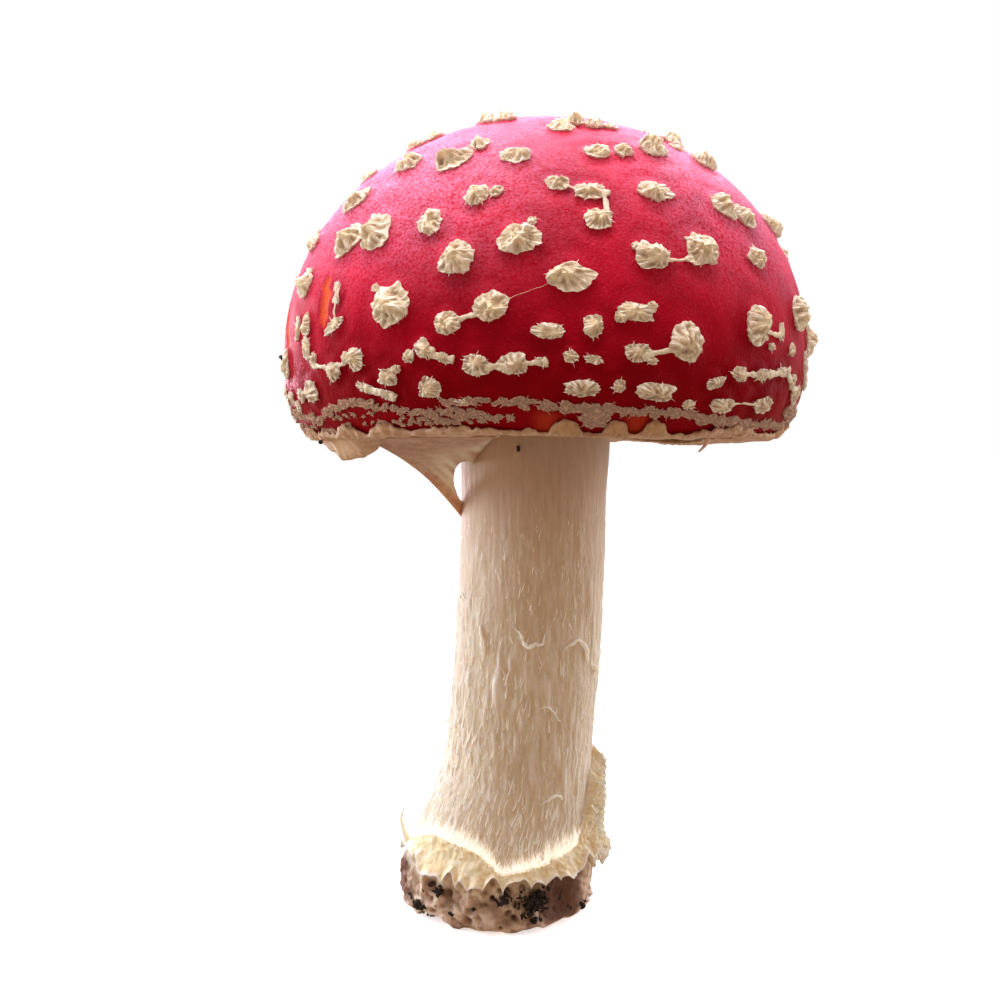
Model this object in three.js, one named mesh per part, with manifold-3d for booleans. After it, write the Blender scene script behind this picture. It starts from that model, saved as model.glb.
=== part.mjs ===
// A young fly agaric mushroom, picked whole and standing on the cut foot of its bulb.
// Millimetres. +Z is up, +X is to the right and -Y is the front. The origin is the middle of the foot.
// Azimuth runs round from the front towards the right: 0 is -Y, 90 is +X, 180 is +Y.

import * as THREE from "three";
import { mergeVertices } from "three/addons/utils/BufferGeometryUtils.js";
import Module from "manifold-3d";

const wasm = await Module();
wasm.setup();

// ---- Driving dimensions ----

const CAP_CENTRE_X = 8.2; // the stem leans, so the cap stands to the right of the foot
const CAP_RADIUS = 45;
const RIM_HEIGHT = 83.3; // height of the cap's rim above the foot
const WIDEST_ABOVE_RIM = 14.7;
const CROWN_ABOVE_WIDEST = 39.8;
const RIM_TUCK = 5; // how far the skin draws in between the widest level and the rim
const RIM_POLAR = 130; // polar measure of the skin at the rim; 90 is the widest level
const RIM_TILT = 0.6; // the rim is this much higher at the front and lower at the back

const FLESH_CEILING = 20; // underside of the flesh above the rim, round the stem
const FLESH_SEAT_RADIUS = 15; // flat part of that underside, over the stem
const FLESH_EDGE = { radius: 41.3, height: 4.5 };
const FLESH_RADII = [15, 27, 34, 39.2]; // where that underside bends

const CLEARANCE = 0.3; // between neighbouring pieces

const GILL_COUNT = 48; // every other one is short
const GILL_THICKNESS = 0.8;
const GILL_INNER_RADIUS = 15.6;
const SHORT_GILL_INNER_RADIUS = 24;
const GILL_OUTER_RADIUS = 39;
const GILL_PLATE = 1.2;
const GILL_EDGE_HEIGHT = 3.2;
const GILL_EDGE_RISE = 5; // the gills' edges rise this much towards the stem

const MEMBRANE = 0.7; // thickness of the veil

// The stem and its bulb: height, centre x, radius.
const STEM_STATIONS = [
  [0, 0.0, 13.9],
  [1.2, 0.0, 15.9],
  [3.6, -0.3, 17.2],
  [7.5, -0.3, 17.1],
  [10.8, -0.1, 16.1],
  [12.6, 0.0, 15.1],
  [18, 1.2, 14.4],
  [25, 3.0, 13.1],
  [32, 3.8, 12.8],
  [43, 4.8, 12.9],
  [54, 5.4, 12.8],
  [65, 5.9, 12.7],
  [81, 6.3, 12.9],
  [96, 7.7, 13.4],
  [RIM_HEIGHT + FLESH_CEILING - CLEARANCE, 8.2, 14.2],
];
const STEM_LEVELS = [STEM_STATIONS.at(-1)[0], 91, 81, 65, 54, 43, 32, 25, 21, 17, 14, 11.5, 9, 6.5, 3.8, 1.2, 0];

// Warts on the front of the cap, from the crown down: azimuth, polar measure, width, length.
const FRONT_WARTS = [
  [-38, 21, 4.6, 4.2], [-27, 22, 4.4, 3.8], [7, 32, 4.4, 4.2], [-6, 25, 4.0, 4.0], [20, 26, 4.6, 4.2],
  [-63, 33, 4.6, 4.2], [-50, 29, 3.8, 3.8], [54, 32, 5.0, 4.6],
  [31, 42, 6.0, 4.6], [-46, 45, 5.6, 4.0], [-27, 48, 5.4, 4.8], [-21, 41, 3.4, 3.4], [-10, 48, 4.8, 4.4],
  [11, 46, 3.9, 3.9], [20, 46, 3.2, 3.4], [55, 42, 5.6, 4.6], [-69, 45, 5.0, 4.2],
  [-58, 55, 5.2, 4.2], [0, 57, 3.6, 3.2], [8, 58, 5.2, 3.4], [22, 57, 5.4, 4.2], [-16, 60, 5.2, 3.8],
  [41, 60, 5.0, 4.2], [49, 61, 4.8, 4.2], [71, 59, 6.0, 4.4],
  [8, 66, 4.2, 3.8], [-27, 65, 4.0, 4.6], [-40, 66, 5.2, 5.4], [-49, 67, 4.8, 4.6], [-67, 65, 3.8, 3.2],
  [-7, 70, 5.7, 5.3], [29, 72, 6.2, 5.6], [18, 74, 6.2, 4.6], [46, 72, 4.0, 3.8], [-19, 75, 5.4, 5.3],
  [2, 79, 6.4, 4.8], [-62, 77, 5.0, 5.2], [-47, 79, 3.0, 3.2], [61, 83, 6.0, 7.0], [76, 87, 5.6, 8.0],
  [-12, 85, 5.6, 5.0], [-21, 88, 4.6, 3.8], [-32, 84, 7.2, 6.4], [14, 85, 5.4, 3.6], [42, 87, 6.6, 5.8],
  [50, 88, 2.6, 3.8], [6, 89, 3.4, 3.6], [-2, 90, 5.0, 2.6], [-47, 87, 5.2, 2.6], [-58, 91, 3.4, 5.4],
  [-73, 94, 4.6, 7.4], [24, 93, 6.6, 6.4], [-25, 97, 5.6, 4.0], [14, 97, 4.9, 3.4],
  [-41, 99, 4.4, 3.8], [-55, 99, 3.0, 2.6], [4, 100, 5.6, 2.8], [-48, 103, 4.4, 3.6],
  [-15, 103, 5.0, 3.8], [-8, 104, 5.6, 3.8], [-1, 103, 2.6, 2.4], [39, 105, 4.4, 2.8],
  [46, 105, 4.6, 2.8], [56, 106, 5.0, 3.0], [-33, 107, 4.4, 3.0], [31, 110, 4.4, 2.4],
  [11, 111, 2.4, 2.4], [4, 112, 5.4, 2.8], [18, 113, 6.2, 2.8], [-24, 112, 4.4, 3.6],
  [-36, 114, 7.0, 2.8], [-58, 111, 5.4, 4.2], [-69, 113, 4.6, 3.2], [34, 117, 5.4, 3.0],
  [48, 117, 5.6, 3.2], [60, 115, 5.0, 4.2],
];

// The rest are scattered round the back and over the crown, each clear of the others.
const WART_SEED = 4127;
const WART_TRIES = 900;
const WART_GAP = 3.0; // least skin between two scattered warts
const BACK_AZIMUTH = { from: 80, to: 278 };
const CROWN_POLAR = 17; // the crown inside this is scattered too
const LOWEST_WART_POLAR = 117;
const WART_SIZE = { least: 3.6, spread: 3.0 };
const WART_SIDES = 6; // corners of a wart's base
const WART_ROOT = 0.8; // how deep a wart's base is sunk in the skin

const FACETS = 48; // flats round the cap and the curtain of the veil

const TOOTH_COUNT = 18; // teeth on the lower edge of the volva

const rad = THREE.MathUtils.degToRad;

// ---- Making solids ----

// Joins rings of points, top ring first, each running round from the front towards the right.
// With a top and a bottom point the ends are closed by fans, and without them the last ring joins the first.
function loft(rings, top, bottom) {
  const n = rings[0].length;
  const points = rings.flat();
  const faces = [];
  const at = (i, j) => (i % rings.length) * n + (j % n);
  const strips = top ? rings.length - 1 : rings.length;
  for (let i = 0; i < strips; i++)
    for (let j = 0; j < n; j++) {
      faces.push(at(i, j), at(i + 1, j), at(i + 1, j + 1));
      faces.push(at(i, j), at(i + 1, j + 1), at(i, j + 1));
    }
  if (top) {
    const topIndex = points.push(top) - 1;
    const bottomIndex = points.push(bottom) - 1;
    for (let j = 0; j < n; j++) {
      faces.push(topIndex, at(0, j), at(0, j + 1));
      faces.push(bottomIndex, at(strips, j + 1), at(strips, j));
    }
  }
  return new THREE.BufferGeometry().setFromPoints(points).setIndex(faces);
}

// A sheet of even thickness over a grid of points, which has rows of equal length.
function sheet(rows, thickness) {
  const nu = rows.length;
  const nv = rows[0].length;
  const point = (i, j) => rows[THREE.MathUtils.clamp(i, 0, nu - 1)][THREE.MathUtils.clamp(j, 0, nv - 1)];
  const faceOf = (side) =>
    rows.map((row, i) =>
      row.map((p, j) => {
        const along = point(i + 1, j).clone().sub(point(i - 1, j));
        const across = point(i, j + 1).clone().sub(point(i, j - 1));
        return p.clone().addScaledVector(across.cross(along).normalize(), (side * thickness) / 2);
      }),
    );
  // Each row becomes a ring round the sheet: over one face and back over the other.
  const over = faceOf(1);
  const under = faceOf(-1);
  const rings = over.map((row, i) => [...row, ...under[i].slice().reverse()]);
  const n = 2 * nv;
  const faces = [];
  for (let i = 0; i < nu - 1; i++)
    for (let j = 0; j < n; j++) {
      const [a, b] = [i * n + j, i * n + ((j + 1) % n)];
      const [c, d] = [a + n, b + n];
      // both faces are split along the same diagonal
      if (j < nv) faces.push(a, c, d, a, d, b);
      else faces.push(a, c, b, c, d, b);
    }
  for (let j = 0; j < nv - 1; j++) {
    const [a, b, c, d] = [j, j + 1, n - 2 - j, n - 1 - j];
    faces.push(a, b, c, a, c, d);
    const last = (nu - 1) * n;
    faces.push(last + a, last + c, last + b, last + a, last + d, last + c);
  }
  return new THREE.BufferGeometry().setFromPoints(rings.flat()).setIndex(faces);
}

// A closed geometry as a solid that can be joined and cut.
function solid(geometry) {
  const bare = geometry.clone();
  bare.deleteAttribute("normal");
  bare.deleteAttribute("uv");
  const merged = mergeVertices(bare, 1e-4);
  const mesh = new wasm.Mesh({
    numProp: 3,
    vertProperties: new Float32Array(merged.attributes.position.array),
    triVerts: new Uint32Array(merged.index.array),
  });
  const made = new wasm.Manifold(mesh);
  if (made.volume() > 0) return made;
  const faces = mesh.triVerts.slice();
  for (let i = 0; i < faces.length; i += 3) [faces[i + 1], faces[i + 2]] = [faces[i + 2], faces[i + 1]];
  return new wasm.Manifold(
    new wasm.Mesh({ numProp: 3, vertProperties: mesh.vertProperties, triVerts: faces }),
  );
}

function joined(solids) {
  return solids.reduce((all, next) => all.add(next));
}

// The largest of a solid's separate bodies: what is left of the others is scrap.
function largest(whole) {
  return whole.decompose().reduce((a, b) => (a.volume() > b.volume() ? a : b));
}

function node(name, body, colour, roughness) {
  const { vertProperties, triVerts } = body.getMesh();
  const geometry = new THREE.BufferGeometry()
    .setAttribute("position", new THREE.BufferAttribute(vertProperties, 3))
    .setIndex(new THREE.BufferAttribute(triVerts, 1));
  geometry.computeVertexNormals();
  const material = new THREE.MeshStandardMaterial({ color: colour, roughness, metalness: 0 });
  const mesh = new THREE.Mesh(geometry, material);
  mesh.name = name;
  return mesh;
}

// Repeatable draws from 0 to 1 (Park and Miller's generator).
function drawer(seed) {
  let state = seed;
  return () => (state = (state * 16807) % 2147483647) / 2147483647;
}

// ---- The cap's skin ----

// The point at a radius from the cap's axis and a height above the rim.
function onCap(azimuth, radius, height) {
  const a = rad(azimuth);
  return new THREE.Vector3(
    CAP_CENTRE_X + radius * Math.sin(a),
    -radius * Math.cos(a),
    RIM_HEIGHT + height,
  );
}

// How far the skin stands out from, or in from, a true dome.
function swell(azimuth, polar) {
  const lobes = 0.5 * Math.cos(rad(azimuth + 75)) + 0.35 * Math.cos(rad(3 * azimuth - 40));
  return lobes * Math.sin(rad(Math.min(polar, 90))) ** 2;
}

// How much lower than level the rim is at an azimuth.
function rimDrop(azimuth) {
  return -RIM_TILT * Math.cos(rad(azimuth)) + 0.25 * Math.sin(rad(4 * azimuth));
}

// The skin, from polar 0 at the crown through 90 at the widest level to RIM_POLAR at the rim.
function skin(azimuth, polar) {
  if (polar <= 90) {
    const radius = CAP_RADIUS * Math.sin(rad(polar)) + swell(azimuth, polar);
    return onCap(azimuth, radius, WIDEST_ABOVE_RIM + CROWN_ABOVE_WIDEST * Math.cos(rad(polar)));
  }
  const share = (polar - 90) / (RIM_POLAR - 90);
  const radius = CAP_RADIUS - RIM_TUCK * share ** 3.3 + swell(azimuth, polar);
  return onCap(azimuth, radius, WIDEST_ABOVE_RIM * (1 - share) - rimDrop(azimuth) * share);
}

// Outward, sideways and downhill directions of the skin.
function skinFrame(azimuth, polar) {
  const origin = skin(azimuth, polar);
  const side = skin(azimuth + 1, polar).sub(skin(azimuth - 1, polar)).normalize();
  const down = skin(azimuth, polar + 1).sub(skin(azimuth, polar - 1)).normalize();
  const out = down.clone().cross(side).normalize();
  return { origin, side, down, out };
}

function ringOf(count, pointAt) {
  return Array.from({ length: count }, (_, j) => pointAt((360 * j) / count));
}

// ---- Warts ----

function scatteredWarts() {
  const draw = drawer(WART_SEED);
  const all = [...FRONT_WARTS];
  const place = ([azimuth, polar]) => skin(azimuth, polar);
  for (let i = 0; i < WART_TRIES; i++) {
    const onCrown = draw() < 0.12;
    const azimuth = onCrown
      ? 360 * draw()
      : BACK_AZIMUTH.from + (BACK_AZIMUTH.to - BACK_AZIMUTH.from) * draw();
    const polar = onCrown ? CROWN_POLAR * draw() : CROWN_POLAR + (LOWEST_WART_POLAR - CROWN_POLAR) * draw();
    const width = WART_SIZE.least + WART_SIZE.spread * draw() ** 2;
    const length = width * (0.72 + 0.3 * draw());
    const wart = [azimuth, polar, width, polar > 100 ? length * 0.75 : length];
    const clear = all.every(
      (other) => place(wart).distanceTo(place(other)) > (width + Math.max(other[2], other[3])) / 2 + WART_GAP,
    );
    if (clear) all.push(wart);
  }
  return all;
}

function wartRise(polar, width, length) {
  return (0.62 - 0.2 * Math.min(polar / 110, 1)) * Math.min(width, length);
}

// A rough leaning pyramid. It widens below the skin, where its base is sunk.
function wart([azimuth, polar, width, length], draw) {
  const frame = skinFrame(azimuth, polar);
  const rise = wartRise(polar, width, length);
  const corners = Array.from({ length: WART_SIDES }, () => 0.86 + 0.28 * draw());
  const turn = 60 * draw();
  const spread = 1 + WART_ROOT / rise;
  const base = corners.map((corner, j) => {
    const a = rad((360 * j) / WART_SIDES + turn);
    return frame.origin
      .clone()
      .addScaledVector(frame.side, (width / 2) * corner * spread * Math.cos(a))
      .addScaledVector(frame.down, (-length / 2) * corner * spread * Math.sin(a))
      .addScaledVector(frame.out, -WART_ROOT);
  });
  const peak = frame.origin
    .clone()
    .addScaledVector(frame.side, (draw() - 0.5) * 0.3 * width)
    .addScaledVector(frame.down, (draw() - 0.5) * 0.3 * length)
    .addScaledVector(frame.out, rise);
  const root = frame.origin.clone().addScaledVector(frame.out, -1.3 * WART_ROOT);
  return solid(loft([base], peak, root));
}

// The frill: crumbs packed side by side round the rim, some large and some small.
function rimFrill(draw) {
  const columns = ringOf(FACETS, (azimuth) => {
    const frame = skinFrame(azimuth, RIM_POLAR - 6);
    return { frame, proud: 0.5 + 0.7 * draw(), high: 1.2 + 1.3 * draw() };
  });
  const offset = ({ frame }, down, out) =>
    frame.origin.clone().addScaledVector(frame.down, down).addScaledVector(frame.out, out);
  return solid(
    loft([
      columns.map((c) => offset(c, -c.high, 0.15)),
      columns.map((c) => offset(c, -0.2, c.proud)),
      columns.map((c) => offset(c, 1.2, 0.3)),
      columns.map((c) => offset(c, 0.6, -1.2)),
      columns.map((c) => offset(c, -0.8, -1.2)),
    ]),
  );
}

// ---- Cap ----

function ceiling(radius) {
  const share = (radius - FLESH_SEAT_RADIUS) / (FLESH_EDGE.radius - FLESH_SEAT_RADIUS);
  return FLESH_CEILING - (FLESH_CEILING - FLESH_EDGE.height) * Math.max(share, 0) ** 2.4;
}

function cap() {
  const skinPolars = [9, 18, 27, 36, 45, 54, 63, 72, 81, 90, 101, 111, 119, 126, RIM_POLAR];
  const lip = [[38.6, -0.5], [38.1, 0.2], [39.4, 1.9], [FLESH_EDGE.radius, FLESH_EDGE.height]];
  const flesh = FLESH_RADII.toReversed().map((r) => [r, ceiling(r)]);
  const rings = [
    ...skinPolars.map((polar) => ringOf(FACETS, (az) => skin(az, polar))),
    ...lip.map(([r, z]) => ringOf(FACETS, (az) => onCap(az, r, z - rimDrop(az)))),
    ...flesh.map(([r, z]) => ringOf(FACETS, (az) => onCap(az, r, z))),
  ];
  const dome = solid(loft(rings, skin(0, 0), onCap(0, 0, FLESH_CEILING)));
  const draw = drawer(WART_SEED);
  const warts = scatteredWarts().map((placed) => wart(placed, draw));
  return joined([dome, ...warts, rimFrill(draw)]);
}

// ---- Gills ----

// Height of a gill's lower edge. Short gills run out into the plate on their way to the stem.
function gillEdge(radius, isShort) {
  const share = (radius - GILL_INNER_RADIUS) / (GILL_OUTER_RADIUS - GILL_INNER_RADIUS);
  const full = GILL_EDGE_HEIGHT + GILL_EDGE_RISE * Math.max(1 - share, 0) ** 2.5;
  const shallowest = ceiling(radius) - CLEARANCE - GILL_PLATE - 0.2;
  const cut = isShort && radius <= SHORT_GILL_INNER_RADIUS;
  return cut ? shallowest : Math.min(full, shallowest);
}

// A thin plate under the flesh whose lower face is folded into gills.
function gills() {
  const step = 360 / GILL_COUNT;
  // Four points for each gill: two on its lower edge, then two on the plate beyond it.
  const folded = (radius, edge, plate) =>
    Array.from({ length: 4 * GILL_COUNT }, (_, k) => {
      const gill = Math.floor(k / 4);
      const half = THREE.MathUtils.radToDeg(GILL_THICKNESS / 2 / radius);
      const offset = [-half, half, half, step - half][k % 4];
      const onEdge = k % 4 < 2;
      return onCap(gill * step + offset, radius, onEdge ? edge(gill % 2 === 1) : plate);
    });
  const upper = FLESH_RADII.map((r) => [Math.max(r, GILL_INNER_RADIUS - 0.3), ceiling(r) - CLEARANCE]);
  const lower = [GILL_OUTER_RADIUS, 31, SHORT_GILL_INNER_RADIUS, GILL_INNER_RADIUS];
  return solid(
    loft([
      ...upper.map(([r, height]) => folded(r, () => height, height)),
      ...lower.map((r) =>
        folded(r, (isShort) => gillEdge(r, isShort), ceiling(r) - CLEARANCE - GILL_PLATE),
      ),
    ]),
  );
}

// ---- Stem and bulb ----

const stemCurve = new THREE.CatmullRomCurve3(
  STEM_STATIONS.map(([height, x, radius]) => new THREE.Vector3(height, x, radius)),
  false,
  "centripetal",
);

// Centre x and radius of the stem at a height.
function stemAt(height) {
  const i = Math.max(1, STEM_STATIONS.findIndex(([h]) => h >= height));
  const [below, above] = [STEM_STATIONS[i - 1], STEM_STATIONS[i]];
  const share = (height - below[0]) / (above[0] - below[0]);
  const p = stemCurve.getPoint((i - 1 + share) / (STEM_STATIONS.length - 1));
  return { x: p.y, radius: p.z };
}

// Lumps and hollows of the bulb, which fade out up the stem.
function bulbRelief(azimuth, height) {
  const fade = THREE.MathUtils.smoothstep(14 - height, 0, 8) * THREE.MathUtils.smoothstep(height, 0, 2.5);
  const lumps = 0.55 * Math.cos(rad(5 * azimuth + 30)) + 0.35 * Math.cos(rad(8 * azimuth - 50 + 9 * height));
  return fade * lumps;
}

function onStem(azimuth, height, proud = 0) {
  const { x, radius } = stemAt(height);
  const a = rad(azimuth);
  const r = radius + bulbRelief(azimuth, height) + proud;
  return new THREE.Vector3(x + r * Math.sin(a), -r * Math.cos(a), height);
}

function stemBody(proud) {
  const rings = STEM_LEVELS.map((h) => ringOf(36, (az) => onStem(az, h, proud)));
  const top = new THREE.Vector3(CAP_CENTRE_X, 0, STEM_LEVELS[0]);
  return solid(loft(rings, top, new THREE.Vector3(0, 0, 0)));
}

// ---- Volva ----

// A smooth hump, 1 in the middle and 0 beyond its half width.
function hump(offset, halfWidth) {
  const wrapped = THREE.MathUtils.euclideanModulo(offset + 180, 360) - 180;
  return Math.cos(rad(90 * Math.min(Math.abs(wrapped) / halfWidth, 1))) ** 2;
}

// The scaly collar: its top edge climbs the stem in a flap on the right and its lower edge is toothed.
// Grown by a clearance it is the room its neighbours must leave for it.
function collar(grown) {
  const top = (az) =>
    12.4 + 0.5 * Math.cos(rad(7 * az)) + 14 * hump(az - 84, 34) + 1.2 * hump(az + 88, 20) + grown;
  const tooth = (az) => Math.abs((((az * TOOTH_COUNT) / 360) % 1) - 0.5) * 2;
  const low = (az) => 8.3 - 2.6 * tooth(az) - 0.6 * Math.cos(rad(3 * az)) - 1.5 * grown;
  const proudAt = (az) => 2.0 + 0.5 * Math.cos(rad(9 * az)) + 0.7 * tooth(az) + 1.3 * grown;
  const level = (share, proud) =>
    ringOf(3 * TOOTH_COUNT, (az) => onStem(az, low(az) + (top(az) - low(az)) * share, proud(az)));
  const inner = () => CLEARANCE + 0.2;
  return solid(
    loft([
      level(1, () => CLEARANCE + 0.9 + grown),
      level(0.72, (az) => 0.75 * proudAt(az)),
      level(0.35, (az) => 0.95 * proudAt(az)),
      level(0, (az) => proudAt(az) + 0.4),
      ...[0.03, 0.35, 0.72, 0.97].map((share) => level(share, inner)),
    ]),
  );
}

function volva() {
  // a thin pointed tooth stands up from the collar on the left
  const spike = new THREE.ConeGeometry(1.1, 8, 5).rotateX(Math.PI / 2);
  const base = onStem(-86, 12.6, 1.4);
  spike.translate(base.x, base.y, base.z + 1.2);
  return largest(collar(0).add(solid(spike)).subtract(stemBody(CLEARANCE)));
}

// ---- Partial veil ----

// Torn edge of the curtain that hangs inside the rim: radius and height above the rim.
function tornEdge(azimuth) {
  const wave = 1.3 * Math.cos(rad(5 * azimuth + 20)) + 0.9 * Math.cos(rad(13 * azimuth));
  const lobe = hump(azimuth + 68, 26);
  return { radius: 32.4 + wave + 3.4 * lobe, height: -0.4 + 0.5 * Math.cos(rad(7 * azimuth)) - 2.6 * lobe };
}

function curtain() {
  const outer = { radius: 37.5, height: -0.4 };
  const at = (share, thick) =>
    ringOf(FACETS, (az) => {
      const edge = tornEdge(az);
      const sag = -0.9 * Math.sin(Math.PI * share);
      const radius = outer.radius + (edge.radius - outer.radius) * share;
      const height = outer.height + (edge.height - outer.height) * share + sag - rimDrop(az);
      return onCap(az, radius, height + thick);
    });
  return solid(
    loft([at(1, MEMBRANE / 2), at(0.5, MEMBRANE / 2), at(0, MEMBRANE / 2),
      at(0, -MEMBRANE / 2), at(0.5, -MEMBRANE / 2), at(1, -MEMBRANE / 2)]),
  );
}

// The part of the veil that still holds on: a stretched tongue from the rim at the front left down to the stem.
function tongue() {
  const rimFrom = -52;
  const rimTo = -14;
  const stemLow = RIM_HEIGHT - 13.6;
  const stemHigh = RIM_HEIGHT - 1.6;
  const rows = 9;
  const columns = 7;
  return Array.from({ length: columns }, (_, i) => {
    const u = i / (columns - 1);
    const azimuth = rimFrom + (rimTo - rimFrom) * u;
    const rim = onCap(azimuth, 37.0, -0.5 - rimDrop(azimuth));
    const foot = onStem(-84 + 30 * u, stemLow + (stemHigh - stemLow) * u, CLEARANCE + MEMBRANE / 2);
    return Array.from({ length: rows }, (_, j) => {
      const v = j / (rows - 1);
      const p = rim.clone().lerp(foot, v);
      p.z += 1.6 * Math.sin(Math.PI * v) * (1 - u); // the free edge hangs in a hollow curve
      return p;
    });
  });
}

function partialVeil() {
  const rows = tongue();
  const tear = new THREE.SphereGeometry(1, 10, 8).scale(1.7, 6, 3.1).rotateY(rad(-14));
  const middle = onStem(-80, RIM_HEIGHT - 8.6, 1.0);
  tear.translate(middle.x - 0.2, middle.y - 2, middle.z);
  return largest(joined([curtain(), solid(sheet(rows, MEMBRANE))]).subtract(solid(tear)).subtract(stemBody(CLEARANCE)));
}

// ---- Soil ----

// Crumbs of soil caught on the bulb and one on the rim: azimuth, height, width, drop.
const SOIL_CRUMBS = [
  [-56, 2.0, 4.6, 3.4],
  [-36, 5.6, 3.4, 3.0],
  [2, 5.2, 3.4, 3.2],
  [24, 5.0, 5.6, 4.6],
  [52, 2.4, 3.6, 3.6],
  [150, 3.4, 4.8, 3.8],
  [205, 5.4, 3.8, 3.4],
  [262, 2.6, 4.2, 3.6],
];

function soilCrumb([azimuth, height, width, drop], draw, bulb) {
  const lump = new THREE.DodecahedronGeometry(1);
  const merged = mergeVertices(lump.deleteAttribute("normal").deleteAttribute("uv"), 1e-4);
  const p = merged.attributes.position;
  for (let i = 0; i < p.count; i++) {
    const grow = 0.8 + 0.4 * draw();
    p.setXYZ(i, (p.getX(i) * grow * width) / 2, p.getY(i) * grow * 1.6, (p.getZ(i) * grow * drop) / 2);
  }
  merged.rotateZ(rad(azimuth));
  const at = onStem(azimuth, height, 0.6);
  merged.translate(at.x, at.y, at.z);
  return largest(solid(merged).subtract(bulb));
}

// ---- The mushroom ----

const mushroom = new THREE.Group();
const stem = stemBody(0);
const clearOfBulb = stemBody(CLEARANCE).add(collar(CLEARANCE));
mushroom.add(
  node("cap", cap(), 0xb5101f, 0.35),
  node("gills", gills(), 0xf3ecd8, 0.7),
  node("partial_veil", partialVeil(), 0xe8d9c4, 0.6),
  node("stem", stem, 0xf0e6d2, 0.75),
  node("volva", volva(), 0xe9d59a, 0.8),
);
const soilDraw = drawer(WART_SEED + 1);
SOIL_CRUMBS.forEach((placed, i) =>
  mushroom.add(node(`soil_crumb_${i + 1}`, soilCrumb(placed, soilDraw, clearOfBulb), 0x2a211c, 0.95)),
);

export default mushroom;
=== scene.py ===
import math

import bmesh
import bpy
import numpy as np
from bpy.props import FloatProperty, FloatVectorProperty, IntProperty, PointerProperty
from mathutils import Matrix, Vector


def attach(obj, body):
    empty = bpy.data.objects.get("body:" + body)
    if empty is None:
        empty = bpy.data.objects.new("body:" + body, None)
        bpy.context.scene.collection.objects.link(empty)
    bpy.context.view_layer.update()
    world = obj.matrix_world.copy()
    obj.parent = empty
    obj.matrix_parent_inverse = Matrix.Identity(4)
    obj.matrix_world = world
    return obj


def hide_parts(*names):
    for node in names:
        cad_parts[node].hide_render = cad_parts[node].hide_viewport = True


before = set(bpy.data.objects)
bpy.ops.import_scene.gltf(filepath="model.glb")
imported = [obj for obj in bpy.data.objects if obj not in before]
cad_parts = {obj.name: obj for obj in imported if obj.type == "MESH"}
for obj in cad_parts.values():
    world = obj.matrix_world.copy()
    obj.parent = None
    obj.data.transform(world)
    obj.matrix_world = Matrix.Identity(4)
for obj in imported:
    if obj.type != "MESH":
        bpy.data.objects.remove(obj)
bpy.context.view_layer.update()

bl_info = {
    "name": "Fly Agaric Mushroom",
    "version": (1, 0, 0),
    "blender": (4, 5, 0),
    "location": "3D View > Sidebar > Mushroom",
    "description": "Builds a young fly agaric with warts, torn veil, gills, fibrous stem and volva",
    "category": "Add Mesh",
}

# Lengths below are in millimetres. Azimuth runs in degrees round from the front (-Y) towards the right (+X).
# A polar measure runs down the cap: 0 at the crown, 90 at the widest level and RIM_POLAR at the rim.
MM = 0.001

CAP_CENTRE_X = 8.2
RIM_HEIGHT = 83.3
WIDEST_ABOVE_RIM = 14.7
CROWN_ABOVE_WIDEST = 39.8
RIM_TUCK = 5.0
RIM_POLAR = 130.0
RIM_TILT = 0.6
FLESH_CEILING = 20.0
FLESH_SEAT_RADIUS = 15.0
FLESH_EDGE = (41.3, 4.5)
STEM_TOP = 103.0
BULB_RADIUS = 17.0

# The stem and its bulb: height, centre x, radius.
STEM_STATIONS = [
    (0, 0.0, 13.9), (1.2, 0.0, 15.9), (3.6, -0.3, 17.2), (7.5, -0.3, 17.1), (10.8, -0.1, 16.1),
    (12.6, 0.0, 15.1), (18, 1.2, 14.4), (25, 3.0, 13.1), (32, 3.8, 12.8), (43, 4.8, 12.9),
    (54, 5.4, 12.8), (65, 5.9, 12.7), (81, 6.3, 12.9), (96, 7.7, 13.4), (103, 8.2, 14.2),
]

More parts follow.
